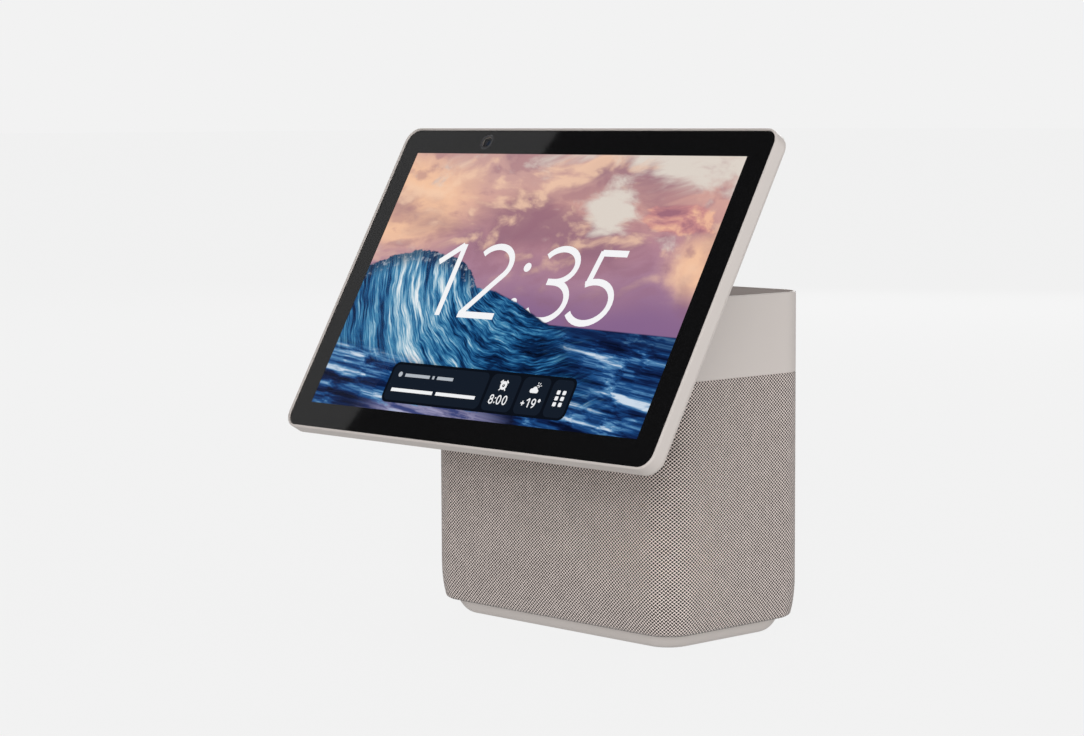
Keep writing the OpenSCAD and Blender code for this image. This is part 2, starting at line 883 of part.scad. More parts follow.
module button_cap(x) {
    color(greige) at_display() translate([x, 0, 0]) {
        block([-cap_w / 2, cap_front, shelf_v + 3.6], [cap_w / 2, cap_back, top_v + proud]);
        block([-cap_w / 2 - 1, cap_front, shelf_v + 3.4], [cap_w / 2 + 1, cap_back, shelf_v + 5.5]);
    }
}

module mic_mute() { button_cap(button_at[0]); }
module volume_down() { button_cap(button_at[1]); }
module volume_up() { button_cap(button_at[2]); }

foot_pad();
foot_plate();
foot_screws();
base_tray();
inlet_bezel();
dc_jack();
power_board();
amplifier_board();
speaker_cabinet();
cabinet_gasket();
cabinet_lid();
cabinet_screws();
grille_sleeve();
fabric_sleeve();
woofer_basket();
woofer_magnet();
woofer_surround();
woofer_spider();
woofer_cone();
tweeter_left();
tweeter_right();
tweeter_dome_left();
tweeter_dome_right();
radiator_surround_left();
radiator_surround_right();
radiator_plate_left();
radiator_plate_right();
collar();
top_plate();
hinge_trough();
base_hinge_bracket();
hinge_shaft();
friction_washers();
spring_washers();
hinge_nuts();
base_bracket_screws();
main_board();
heat_sink();
wifi_antennas();
ribbon_cable();
cover_glass();
border_film();
lcd_panel();
backlight_unit();
display_frame();
display_rear_cover();
display_screws();
display_hinge_bracket();
display_bracket_screws();
hinge_barrel_cover();
display_board();
camera_module();
camera_lens();
camera_shutter();
button_board();
microphone_boards();
volume_up();
volume_down();
mic_mute();
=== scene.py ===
"""Looks of a smart display: a touch screen on a friction hinge, and its cloth-covered speaker."""

import json
import math

import bmesh
import bpy
from bpy.props import FloatProperty, FloatVectorProperty, IntProperty, PointerProperty
from mathutils import Matrix, Vector


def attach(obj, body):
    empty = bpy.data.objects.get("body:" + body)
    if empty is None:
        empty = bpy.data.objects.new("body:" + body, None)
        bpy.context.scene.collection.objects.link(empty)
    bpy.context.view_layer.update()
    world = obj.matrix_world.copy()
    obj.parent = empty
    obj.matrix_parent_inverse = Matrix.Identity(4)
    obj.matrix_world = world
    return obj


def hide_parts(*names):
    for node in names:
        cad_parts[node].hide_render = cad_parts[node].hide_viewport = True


bl_info = {
    "name": "Smart Display Looks",
    "version": (1, 0, 0),
    "blender": (4, 5, 0),
    "location": "View3D > Sidebar > Smart Display",
    "description": "Builds the visible pieces and finishes of a smart display round its frame",
    "category": "Object",
}

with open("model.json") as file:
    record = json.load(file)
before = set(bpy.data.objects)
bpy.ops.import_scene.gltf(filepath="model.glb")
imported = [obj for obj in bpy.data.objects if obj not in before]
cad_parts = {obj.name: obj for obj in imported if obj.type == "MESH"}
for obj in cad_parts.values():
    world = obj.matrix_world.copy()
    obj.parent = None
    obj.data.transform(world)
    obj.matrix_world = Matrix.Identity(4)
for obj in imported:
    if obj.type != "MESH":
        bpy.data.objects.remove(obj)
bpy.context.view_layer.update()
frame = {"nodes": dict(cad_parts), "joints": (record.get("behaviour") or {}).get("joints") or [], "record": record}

MM = 0.001
RIGHT = Vector((1, 0, 0))
INWARD = Vector((0, 1, 0))
Z_UP = Vector((0, 0, 1))


# ---- Places and sizes that come from the frame ----


def span(node, direction):
    """Lowest and highest distance of a node's surface along a direction, in metres."""
    reach = [vertex.co.dot(direction) for vertex in frame["nodes"][node].data.vertices]
    return min(reach), max(reach)


def joint(name):
    """The record's row for a joint."""
    return next(row for row in frame["joints"] if row["name"] == name)


# The display's own directions: up its face, and back from it
UP = -Vector(joint("mute_press")["axis"]).normalized()
BACK = UP.cross(RIGHT)
AXLE = Vector(joint("display_tilt")["pos_m"])
GLASS_SIDES = span("cover_glass", RIGHT)
GLASS_ENDS = span("cover_glass", UP)
GLASS_FACES = span("cover_glass", BACK)
FACE = UP * (sum(GLASS_ENDS) / 2) + BACK * GLASS_FACES[0]
CASE_W = span("display_frame", RIGHT)[1] * 2
CASE_ENDS = span("display_frame", UP)
CASE_H = CASE_ENDS[1] - CASE_ENDS[0]
SIDE_DEPTH = span("display_frame", BACK)[1] - GLASS_FACES[0]
CASE_DEPTH = span("display_rear_cover", BACK)[1] - GLASS_FACES[0]
AXLE_W = (AXLE - FACE).dot(BACK)
AXLE_V = (AXLE - FACE).dot(UP)
BARREL_HALF = span("hinge_barrel_cover", RIGHT)[1]
# The lit picture is 16 by 10, and its middle lies a little left of the glass's
PICTURE_W = 217 * MM
PICTURE_H = 135.6 * MM
PICTURE_U = -0.9 * MM

CLOTH_SKIN = 0.9 * MM
BASE_W = span("fabric_sleeve", RIGHT)[1] * 2
BASE_D = span("grille_sleeve", INWARD)[1] * 2 + 2 * CLOTH_SKIN
CLOTH_LOW, CLOTH_TOP = span("fabric_sleeve", Z_UP)
COLLAR_TOP = span("collar", Z_UP)[1]
PLATE_Z = span("top_plate", Z_UP)
FOOT_Z = span("foot_plate", Z_UP)


def on_base(x, y, z):
    """A point of the base's frame."""
    return Vector((x, y, z))


def on_display(u, v, w):
    """A point u right of, v above and w behind the middle of the display's face."""
    return FACE + RIGHT * u + UP * v + BACK * w


def on_screen(u, v, w):
    """The same, from the middle of the lit picture."""
    return on_display(u + PICTURE_U, v, w)


# ---- What a user would change ----


def length_property(name, description, millimetres):
    """A length, with its default in millimetres."""
    return FloatProperty(
        name=name, description=description, default=millimetres * MM, unit="LENGTH", precision=5
    )


def angle_property(name, description, degrees):
    """An angle, with its default in degrees."""
    return FloatProperty(
        name=name, description=description, default=math.radians(degrees), subtype="ANGLE"
    )


def amount_property(name, description, default):
    """A plain amount, never below nothing."""
    return FloatProperty(name=name, description=description, default=default, min=0)


def paint(red, green, blue):
    """A linear colour with alpha, from screen values of 0 to 255."""
    def linear(value):
        part = value / 255
        return part / 12.92 if part <= 0.04045 else ((part + 0.055) / 1.055) ** 2.4
    return linear(red), linear(green), linear(blue), 1.0


def colour_property(name, description, tint):
    """A colour, with its default as screen values from 0 to 255."""
    return FloatVectorProperty(
        name=name, description=description, default=paint(*tint)[:3], size=3, subtype="COLOR"
    )


SHELL = (203, 195, 190)
PLATE = (146, 135, 130)
RUBBER = (34, 33, 33)
DARK = (38, 38, 40)


class BaseSizes(bpy.types.PropertyGroup):
    """Sizes of the speaker base."""

    corner_radius: length_property("Corner radius", "Radius of the base's upright corners", 17)
    cloth_thickness: length_property("Cloth thickness", "Thickness of the woven sleeve", CLOTH_SKIN / MM)
    weave_across: length_property("Weave across", "Width of one cell of the weave", 1.9)
    weave_up: length_property("Weave up", "Height of one cell of the weave", 1.63)
    stitches: IntProperty(
        name="Stitches", description="Stitches in the seam at the back", default=34, min=2
    )


class DisplaySizes(bpy.types.PropertyGroup):
    """Sizes of the display."""

    corner_radius: length_property("Corner radius", "Radius of the casing's corners", 8)
    rim: length_property("Rim", "Width of the casing's rim round the glass", 1)
    cap_length: length_property("Button length", "Length of each button along the edge", 12)
    cap_depth: length_property("Button depth", "Width of each button across the edge", 3.2)
    ribs: IntProperty(
        name="Shutter ribs", description="Grip ribs on the shutter's knob", default=5, min=2
    )


class Finishes(bpy.types.PropertyGroup):
    """Colours of the object."""

    shell: colour_property("Shell", "Colour of the moulded shells", SHELL)
    plate: colour_property("Top plate", "Colour of the plate on the base", PLATE)
    thread: colour_property("Thread", "Light thread of the cloth", (243, 228, 221))
    gap: colour_property("Gap", "Dark between the cloth's threads", (18, 13, 12))
    screen_glow: amount_property("Screen glow", "Brightness of the picture", 1.0)


class StageSetup(bpy.types.PropertyGroup):
    """Camera, background and lamps."""

    azimuth: angle_property("Azimuth", "Camera's turn round the object", 46.51)
    elevation: angle_property("Elevation", "Camera's height above level", 5.25)
    roll: angle_property("Roll", "Camera's roll", -0.24)
    distance: length_property("Distance", "Camera to target", 1294.41)
    target: FloatVectorProperty(
        name="Target", description="Point that the camera looks at", size=3, subtype="TRANSLATION",
        default=(-0.03139, -0.01715, 0.11933),
    )
    lens: amount_property("Lens", "Focal length in millimetres", 90.63)
    backdrop: amount_property("Backdrop", "Brightness of floor and background", 0.888)
    dome_fill: amount_property("Dome fill", "Soft light from all round", 0.45)
    floor_fill: amount_property("Floor fill", "Soft light from below", 0.56)
    card: amount_property("Card", "Brightness of the card that the glass mirrors", 0.02)
    key: amount_property("Key", "Power of the main softbox in watts", 30)
    rear: amount_property("Rear", "Power of the softbox behind in watts", 14)
    rim: amount_property("Rim", "Power of the softbox on the right in watts", 8)
    glass_glow: amount_property("Glass glow", "Power of the softbox that the glass mirrors", 1.65)


# ---- Shader maths ----


class Socket:
    """An output of a node. Arithmetic on it adds Math nodes."""

    def __init__(self, finish, output):
        self.finish = finish
        self.output = output

    def __add__(self, other):
        return self.finish.math("ADD", self, other)

    def __radd__(self, other):
        return self.finish.math("ADD", other, self)

    def __sub__(self, other):
        return self.finish.math("SUBTRACT", self, other)

    def __rsub__(self, other):
        return self.finish.math("SUBTRACT", other, self)

    def __mul__(self, other):
        return self.finish.math("MULTIPLY", self, other)

    def __rmul__(self, other):
        return self.finish.math("MULTIPLY", other, self)

    def __truediv__(self, other):
        return self.finish.math("DIVIDE", self, other)

    def __abs__(self):
        return self.finish.math("ABSOLUTE", self)


class Finish:
    """A procedural material, or a world, under construction."""

    def __init__(self, name, owner=None):
        self.owner = owner or bpy.data.materials.new(name)
        self.owner.use_nodes = True
        self.tree = self.owner.node_tree
        self.tree.nodes.clear()
        self.where = self.node("ShaderNodeTexCoord", output="Object")

    def node(self, kind, settings=None, inputs=None, output=0):
        """Adds a node: its settings first, then its sockets' values or links. Gives one of its outputs."""
        node = self.tree.nodes.new(kind)
        for name, value in (settings or {}).items():
            if name == "stops":
                fill_ramp(node.color_ramp, value)
            else:
                setattr(node, name, value)
        for key, value in (inputs or {}).items():
            if isinstance(value, Socket):
                self.tree.links.new(value.output, node.inputs[key])
            else:
                node.inputs[key].default_value = value
        return Socket(self, node.outputs[output])

    def math(self, operation, *values):
        """One Math node."""
        return self.node("ShaderNodeMath", {"operation": operation}, dict(enumerate(values)))

    def dot(self, vector, direction):
        """How far a place or a colour reaches along a direction."""
        inputs = {0: vector, 1: tuple(direction)}
        return self.node("ShaderNodeVectorMath", {"operation": "DOT_PRODUCT"}, inputs, "Value")

    def combine(self, x, y, z=0.0):
        """A place from three values."""
        return self.node("ShaderNodeCombineXYZ", {}, {0: x, 1: y, 2: z})

    def smooth(self, value, low, high):
        """0 below low and 1 above high, with a smooth step between."""
        return self.node(
            "ShaderNodeMapRange",
            {"interpolation_type": "SMOOTHSTEP"},
            {"Value": value, "From Min": low, "From Max": high},
        )

    def noise(self, vector, scale, detail=2.0, roughness=0.5):
        """Cloudy noise from 0 to 1."""
        inputs = {"Vector": vector, "Scale": scale, "Detail": detail, "Roughness": roughness}
        return self.node("ShaderNodeTexNoise", {}, inputs)

    def mix(self, factor, low, high, how="MIX"):
        """A mix of two colours."""
        settings = {"data_type": "RGBA", "blend_type": how}
        return self.node("ShaderNodeMix", settings, {0: factor, 6: low, 7: high}, 2)

    def ramp(self, value, stops):
        """A colour read from stops, each a place from 0 to 1 and a colour."""
        return self.node("ShaderNodeValToRGB", {"stops": stops}, {0: value})

    def bump(self, height, distance, strength=1.0):
        """A normal tilted by a height, whose full step is a distance in metres."""
        inputs = {"Height": height, "Distance": distance, "Strength": strength}
        return self.node("ShaderNodeBump", {}, inputs)

    def principled(self, **sockets):
        """The surface shader. Socket names are written with _ for a space."""
        inputs = {name.replace("_", " "): value for name, value in sockets.items()}
        return self.node("ShaderNodeBsdfPrincipled", {}, inputs)

    def done(self, surface, output="ShaderNodeOutputMaterial"):
        """Links the surface to the output and gives the finished material."""
        end = self.tree.nodes.new(output)
        self.tree.links.new(surface.output, end.inputs["Surface"])
        return self.owner

    def coat(self, **sockets):
        """The finished material, with the surface shader alone."""
        return self.done(self.principled(**sockets))

    def lit(self, colour, glow):
        """The finished material of a dark surface that glows."""
        return self.coat(
            Base_Color=grey(0.0), Specular_IOR_Level=0.0, Roughness=0.5,
            Emission_Color=colour, Emission_Strength=glow,
        )


def fill_ramp(ramp, stops):
    """Sets a ramp's stops, each a place from 0 to 1 and a colour."""
    while len(ramp.elements) < len(stops):
        ramp.elements.new(1.0)
    for element, (place, value) in zip(ramp.elements, stops):
        element.position = place
        element.color = value


def grey(value):
    """An opaque grey of a linear value."""
    return value, value, value, 1.0


def shade(value, by):
    """A colour made darker or lighter."""
    return value[0] * by, value[1] * by, value[2] * by, 1.0


# ---- Finishes ----


def moulded_plastic(name, tint, roughness=0.5, variation=0.03, grain=0.00002, shine=0.5):
    """Satin moulded plastic: faint drift of tone, fine moulded grain."""
    finish = Finish(name)
    drift = finish.noise(finish.where, 22, 3)
    grains = finish.noise(finish.where, 2600, 2)
    tone = finish.mix(drift, shade(tint, 1 - variation), shade(tint, 1 + variation))
    rough = roughness - 0.05 + 0.1 * finish.noise(finish.where, 60, 3)
    relief = finish.bump(grains, grain, 0.5)
    return finish.coat(Base_Color=tone, Roughness=rough, Specular_IOR_Level=shine, Normal=relief)


def cloth_weave(name, sizes, thread, gap):
    """Two-ply diagonal weave that follows the sleeve's own UV map, in metres."""
    finish = Finish(name)
    place = finish.node("ShaderNodeUVMap", {"uv_map": "cloth"})
    x = finish.node("ShaderNodeSeparateXYZ", {}, {0: place}, "X") / sizes.weave_across
    y = finish.node("ShaderNodeSeparateXYZ", {}, {0: place}, "Y") / sizes.weave_up
    rise = finish.math("SINE", (x + y) * math.pi)
    fall = finish.math("SINE", (x - y) * math.pi)
    over = rise * fall * 0.25
    height = finish.math("MAXIMUM", abs(rise) + over, abs(fall) - over)
    fibre = finish.noise(finish.where, 3800, 2)
    mottle = finish.noise(finish.where, 160, 4, 0.65)
    cover = finish.smooth(height + (fibre - 0.5) * 0.1, 0.84, 1.03)
    tint = finish.mix(cover, gap, thread)
    drift = finish.ramp(mottle, [(0.25, grey(0.86)), (0.75, grey(1.08))])
    tint = finish.mix(1.0, tint, drift, "MULTIPLY")
    relief = finish.bump(height + fibre * 0.3, 0.00028, 0.8)
    return finish.coat(
        Base_Color=tint, Roughness=0.92, Sheen_Weight=0.15, Sheen_Roughness=0.5, Normal=relief
    )


def clear_glass(name):
    """Thin cover glass: clear, with a reflection that grows towards grazing angles."""
    finish = Finish(name)
    clear = finish.node("ShaderNodeBsdfTransparent", {}, {"Color": grey(1.0)})
    smear = finish.noise(finish.where, 35, 3)
    shine = finish.principled(Base_Color=grey(1.0), Metallic=1.0, Roughness=0.012 + 0.016 * smear)
    facing = finish.node("ShaderNodeLayerWeight", {}, {"Blend": 0.5}, "Facing")
    inside = finish.node("ShaderNodeNewGeometry", output="Backfacing")
    mirror = (finish.math("POWER", facing, 5.0) * 0.9 + 0.012) * (1 - inside)
    return finish.done(finish.node("ShaderNodeMixShader", {}, {0: mirror, 1: clear, 2: shine}))


def glossy_print(name):
    """Black ink on the back of the cover glass, with the glass's polish."""
    finish = Finish(name)
    drift = finish.noise(finish.where, 22, 3)
    tone = finish.mix(drift, paint(15, 15, 16), paint(17, 17, 18))
    return finish.coat(Base_Color=tone, Roughness=0.02 + 0.01 * drift)


def brushed_metal(name, tint, roughness, along=RIGHT):
    """Metal with fine lines along one direction."""
    finish = Finish(name)
    x = finish.dot(finish.where, along) * 0.04
    across = finish.combine(x, finish.dot(finish.where, INWARD), finish.dot(finish.where, Z_UP))
    lines = finish.noise(across, 2400, 3)
    tone = finish.mix(lines, shade(tint, 0.82), shade(tint, 1.1))
    relief = finish.bump(lines, 0.00001)
    return finish.coat(Base_Color=tone, Metallic=1.0, Roughness=roughness + lines * 0.15, Normal=relief)


def circuit_board(name):
    """Green solder mask with copper tracks under it."""
    finish = Finish(name)
    x = finish.dot(finish.where, RIGHT)
    y = finish.dot(finish.where, (0, 1, 0.6))
    cells = finish.node(
        "ShaderNodeTexBrick",
        {"offset": 0.5},
        {"Vector": finish.combine(x, y), "Scale": 260.0, "Mortar Size": 0.06, "Bias": 0.0},
        "Fac",
    )
    blotch = finish.smooth(finish.noise(finish.where, 130, 3), 0.42, 0.58)
    tracks = cells * blotch
    tint = finish.mix(tracks, paint(16, 72, 48), paint(48, 124, 78))
    relief = finish.bump(tracks, 0.00004)
    return finish.coat(Base_Color=tint, Roughness=0.35 + 0.1 * tracks, Normal=relief)


def coated_lens(name):
    """Dark lens with a blue coating that shows towards its edge."""
    finish = Finish(name)
    edge = finish.node("ShaderNodeLayerWeight", {}, {"Blend": 0.35}, "Facing")
    dust = finish.noise(finish.where, 900, 2)
    tint = finish.mix(dust * 0.4, paint(8, 12, 22), paint(26, 58, 92))
    return finish.coat(Base_Color=tint, Roughness=0.04 + 0.03 * dust, Coat_Weight=edge)


# ---- The picture on the screen ----


def screen_place(finish):
    """Millimetres right of and above the middle of the picture."""
    u = (finish.dot(finish.where, RIGHT) - PICTURE_U) * 1000
    v = (finish.dot(finish.where, UP) - FACE.dot(UP)) * 1000
    return u, v


# The wave's back, as places right of and above the picture's middle, in millimetres
WAVE_BACK = [
    (-108, 6), (-93, 12), (-84, 13.5), (-76, 16), (-64, 14.5), (-52, 12.5), (-41, 9.3), (-33, 3.5),
    (-27, -3), (-15, -3.6), (4, -9), (24.5, -17), (44, -23), (108, -28),
]
HORIZON = -18.0
HALF_VIEW = 108.5


def wave_back(finish, u):
    """Height of the wave's back over a place, from a ramp through WAVE_BACK."""
    low, high = -30.0, 20.0
    stops = [((x + HALF_VIEW) / (2 * HALF_VIEW), grey((y - low) / (high - low))) for x, y in WAVE_BACK]
    height = finish.ramp((u + HALF_VIEW) / (2 * HALF_VIEW), stops)
    return finish.dot(height, (1, 0, 0)) * (high - low) + low


def glow_at(finish, u, v, x, y, wide, tall):
    """1 at a place in the picture, fading to 0 at its reach."""
    across = (u - x) / wide
    along = (v - y) / tall
    return 1 - finish.smooth(finish.math("SQRT", across * across + along * along), 0.0, 1.0)


def sunset_sky(finish, u, v):
    """Rose and peach clouds over mauve haze, with a pale opening at the upper right."""
    wander = finish.noise(finish.combine(u * 0.016, v * 0.026, 1.0), 1.0, 2) - 0.5
    x = u * 0.021 + wander * 1.1 + v * 0.004
    y = v * 0.04 + wander * 0.7
    thick = finish.noise(finish.combine(x, y, 3.0), 1.0, 6, 0.5)
    sunward = finish.noise(finish.combine(x - 0.1, y + 0.17, 3.0), 1.0, 6, 0.5)
    fine = finish.noise(finish.combine(x * 3.1, y * 3.1, 7.0), 1.0, 6, 0.6)
    sky = finish.ramp(
        finish.smooth(v + wander * 26, -22.0, 66.0),
        [
            (0.0, paint(136, 102, 142)), (0.18, paint(166, 126, 150)), (0.4, paint(180, 134, 148)),
            (0.62, paint(196, 148, 148)), (0.84, paint(212, 164, 154)), (1.0, paint(202, 160, 154)),
        ],
    )
    peach = finish.math(
        "MAXIMUM", glow_at(finish, u, v, -104, 40, 84, 46), glow_at(finish, u, v, 112, 14, 44, 26)
    )
    peach = finish.smooth(peach + (thick - 0.5) * 0.8 + (fine - 0.5) * 0.3, 0.05, 0.75)
    sky = finish.mix(peach * 0.9, sky, paint(248, 200, 164))
    bulk = glow_at(finish, u, v, 4, 30, 84, 26) * 0.2 + glow_at(finish, u, v, 74, 36, 46, 18) * 0.12
    shadow = finish.smooth(thick + bulk, 0.47, 0.68)
    sky = finish.mix(shadow * 0.7, sky, paint(140, 100, 120))
    lit = finish.smooth(thick - sunward + (fine - 0.5) * 0.12, 0.0, 0.12) * finish.smooth(v, -10, 30)
    sky = finish.mix(lit * 0.75, sky, paint(246, 206, 176))
    shade_side = finish.smooth(sunward - thick, 0.01, 0.1) * finish.smooth(v, -20, 20)
    sky = finish.mix(shade_side * 0.45, sky, paint(150, 104, 122))
    opening = finish.math(
        "MAXIMUM", glow_at(finish, u, v, 76, 70, 86, 34), glow_at(finish, u, v, 40, 44, 24, 40) * 0.74
    )
    opening = finish.smooth(opening - (thick - 0.5) * 1.9 + (fine - 0.5) * 1.1, 0.16, 0.68)
    opening = opening * finish.smooth(v, 8, 22)
    sky = finish.mix(opening, sky, paint(222, 212, 202))
    bank = glow_at(finish, u, v, 82, 36, 40, 15) + (fine - 0.5) * 1.1 + (thick - 0.5)
    bank = finish.smooth(bank, 0.32, 0.56)
    billow = finish.ramp(
        fine + (thick - sunward) * 2.4,
        [(0.32, paint(158, 106, 122)), (0.52, paint(204, 142, 140)), (0.72, paint(240, 186, 156))],
    )
    return finish.mix(bank * 0.9, sky, billow)


def breaking_wave(finish, u, v, back):
    """Blue water swept round in long streaks, with foam along them and on the crest."""
    across = u - 22
    along = v - 47
    sweep = finish.math("SQRT", across * across + along * along)
    turn = finish.math("ARCTAN2", along, across)
    wander = finish.noise(finish.combine(u * 0.028, v * 0.028), 1.0, 3) - 0.5
    streak = finish.noise(finish.combine(sweep * 0.2 + wander * 4, turn * 2.4), 1.0, 8, 0.6)
    thread = finish.noise(finish.combine(sweep * 0.95 + wander * 10, turn * 5, 4.0), 1.0, 6, 0.62)
    level = streak * 0.55 + thread * 0.45
    face = 1 - finish.smooth(u, -34, -6)
    foam_line = (1 - finish.smooth(abs(sweep - 112 + wander * 22), 2, 17)) * face
    lit = glow_at(finish, u, v, -52, -8, 34, 30)
    level = level + foam_line * 0.085 + lit * 0.06 - finish.smooth(u, -30, 30) * 0.05
    water = finish.ramp(
        level,
        [
            (0.36, paint(5, 12, 32)), (0.435, paint(11, 40, 80)), (0.49, paint(26, 84, 134)),
            (0.55, paint(70, 138, 178)), (0.605, paint(160, 196, 214)), (0.67, paint(240, 243, 245)),
        ],
    )
    tilted = v + u * 0.1
    flat = finish.noise(finish.combine(u * 0.034 + wander * 2, tilted * 0.26, 5.0), 1.0, 9, 0.6)
    swell = finish.noise(finish.combine(u * 0.014, tilted * 0.1, 9.0), 1.0, 2) - 0.5
    open_sea = finish.ramp(
        flat + swell * 0.34 + glow_at(finish, u, v, 74, -54, 66, 18) * 0.085
        + glow_at(finish, u, v, -92, -46, 50, 18) * 0.06 - 0.02,
        [
            (0.36, paint(7, 14, 38)), (0.45, paint(15, 34, 76)), (0.53, paint(28, 74, 130)),
            (0.6, paint(88, 140, 184)), (0.68, paint(206, 220, 234)),
        ],
    )
    shallows = finish.smooth(v + (flat - 0.5) * 46, -54, -70) * glow_at(finish, u, v, -24, -66, 74, 24)
    sheen = finish.ramp(flat, [(0.42, paint(70, 80, 134)), (0.6, paint(196, 186, 212))])
    open_sea = finish.mix(finish.smooth(shallows, 0.1, 0.6) * 0.75, open_sea, sheen)
    right = finish.smooth(u + v * 0.9 + wander * 30, 0.0, 40)
    low = finish.smooth(v + u * 0.1 + wander * 14, -43, -52)
    sea = finish.mix(finish.math("MAXIMUM", right, low), water, open_sea)
    depth = back - v
    crest = (1 - finish.smooth(depth, 1.0, 10.0)) * (1 - finish.smooth(u, -36, -22))
    spots = finish.noise(finish.combine(u * 0.34, v * 0.34, 2.0), 1.0, 7, 0.68)
    sea = finish.mix(crest * 0.75, sea, paint(34, 52, 80))
    sea = finish.mix(finish.smooth(spots, 0.52, 0.66) * crest * 0.85, sea, paint(176, 186, 198))
    far = (1 - finish.smooth(depth, -0.6, 0.2)) * 0.5
    return finish.mix(far, sea, paint(18, 34, 72))


def wave_cover(finish, u, v, back):
    """1 where water covers the sky, with a ragged edge."""
    ragged = (finish.noise(finish.combine(u * 0.22, v * 0.22), 1.0, 5, 0.7) - 0.5) * 5
    ragged = ragged * (1 - finish.smooth(u, -30, -5) * 0.8)
    near = 1 - finish.smooth(v - back + ragged, -0.5, 0.5)
    far = (1 - finish.smooth(v + u * 0.02, HORIZON - 0.4, HORIZON + 0.4)) * finish.smooth(u, 10, 12)
    return finish.math("MAXIMUM", near, far)


def sunset_picture(finish):
    """The whole picture: sky, and the breaking wave in front of it."""
    u, v = screen_place(finish)
    back = wave_back(finish, u)
    cover = wave_cover(finish, u, v, back)
    return finish.mix(cover, sunset_sky(finish, u, v), breaking_wave(finish, u, v, back))


def lit_picture(name, glow):
    """The panel, lit from behind with the picture."""
    finish = Finish(name)
    return finish.lit(sunset_picture(finish), glow)


def lit_mark(name, tint, glow, behind_wave=False):
    """A lit mark on the picture, with the panel's faint grain. One behind the wave gives way to it."""
    finish = Finish(name)
    grain = finish.noise(finish.where, 4000, 1)
    light = finish.mix(grain, shade(tint, 0.97), shade(tint, 1.03))
    if behind_wave:
        u, v = screen_place(finish)
        back = wave_back(finish, u)
        hidden = wave_cover(finish, u, v, back) * finish.smooth(u, -6, -3) * (1 - finish.smooth(u, 28, 30))
        light = finish.mix(hidden, light, breaking_wave(finish, u, v, back))
    return finish.lit(light, glow)


# ---- Mesh helpers ----


def arc(centre, reach, start, end, steps):
    """Points of an elliptic arc, from one angle in degrees to another. A negative reach mirrors it."""
    turns = [math.radians(start + (end - start) * i / steps) for i in range(steps + 1)]
    return [(centre[0] + reach[0] * math.cos(a), centre[1] + reach[1] * math.sin(a)) for a in turns]


def circle(centre, radius, sides=60):
    """Points round a circle."""
    return arc(centre, (radius, radius), 0, 360 - 360 / sides, sides - 1)


def rounded_loop(width, depth, radius, steps=12):
    """A rounded rectangle, anticlockwise from the middle of its far side."""
    x, y = width / 2 - radius, depth / 2 - radius
    corners = [(-x, y, 90), (-x, -y, 180), (x, -y, 270), (x, y, 0)]
    points = [(0.0, depth / 2)]
    for cx, cy, turn in corners:
        points += arc((cx, cy), (radius, radius), turn, turn + 90, steps)
    return points


def pill(length, depth):
    """Outline of a bar with round ends."""
    half = (length - depth) / 2
    reach = (depth / 2, depth / 2)
    steps = 10
    return arc((half, 0), reach, -90, 90, steps) + arc((-half, 0), reach, 90, 270, steps)


def add_piece(name, mesh):
    """A new object at the origin that shows a mesh."""
    piece = bpy.data.objects.new(name, mesh)
    bpy.context.scene.collection.objects.link(piece)
    return piece


def piece_from(name, points, faces):
    """A new object from its points and faces."""
    mesh = bpy.data.meshes.new(name)
    mesh.from_pydata(points, [], faces)
    mesh.validate()
    return add_piece(name, mesh)


def poured(name, made):
    """A new object from a bmesh, with smooth shading."""
    mesh = bpy.data.meshes.new(name)
    made.to_mesh(mesh)
    made.free()
    piece = add_piece(name, mesh)
    soften(piece)
    return piece


def settle(piece):
    """Turns the piece's live modifiers into its plain mesh."""
    graph = bpy.context.evaluated_depsgraph_get()
    mesh = bpy.data.meshes.new_from_object(piece.evaluated_get(graph))
    piece.modifiers.clear()
    piece.data = mesh


def soften(piece, angle=35):
    """Smooth shading: edges over the angle stay sharp, and the larger faces stay flat."""
    for face in piece.data.polygons:
        face.use_smooth = True
    piece.data.set_sharp_from_angle(angle=math.radians(angle))
    weigh = piece.modifiers.new("weigh", "WEIGHTED_NORMAL")
    weigh.mode = "FACE_AREA"
    weigh.keep_sharp = True
    settle(piece)


def loft(name, loops, place, ring=False):
    """A skin through loops of equal length, closed with end faces or, as a ring, back on itself.

    Each loop is (outline, level). place turns an outline's point and its level into a point in space."""
    count = len(loops[0][0])
    points = [place(x, y, level) for outline, level in loops for x, y in outline]
    faces = []
    pairs = len(loops) if ring else len(loops) - 1
    for row in range(pairs):
        low, high = row * count, (row + 1) % len(loops) * count
        for i in range(count):
            j = (i + 1) % count
            faces.append((low + i, low + j, high + j, high + i))
    if not ring:
        faces.append(tuple(reversed(range(count))))
        faces.append(tuple(range((len(loops) - 1) * count, len(loops) * count)))
    piece = piece_from(name, points, faces)
    soften(piece)
    return piece


def settled_shape(name, made):
    """Merges doubles, turns the faces outward and gives the shape to a new object."""
    bmesh.ops.remove_doubles(made, verts=made.verts, dist=1e-7)
    bmesh.ops.dissolve_degenerate(made, edges=made.edges, dist=1e-8)
    bmesh.ops.recalc_face_normals(made, faces=made.faces)
    return poured(name, made)


def lathe(name, profile, centre, axis, side, steps):
    """A ring or disc turned round an axis, from a closed profile of (radius, distance along)."""
    other = axis.cross(side)
    made = bmesh.new()
    rows = []
    for i in range(steps):
        angle = 2 * math.pi * i / steps
        out = side * math.cos(angle) + other * math.sin(angle)
        rows.append([made.verts.new(centre + out * r + axis * h) for r, h in profile])
    for i in range(steps):
        near, far = rows[i], rows[(i + 1) % steps]
        for j in range(len(profile)):
            k = (j + 1) % len(profile)
            made.faces.new((near[j], near[k], far[k], far[j]))
    return settled_shape(name, made)


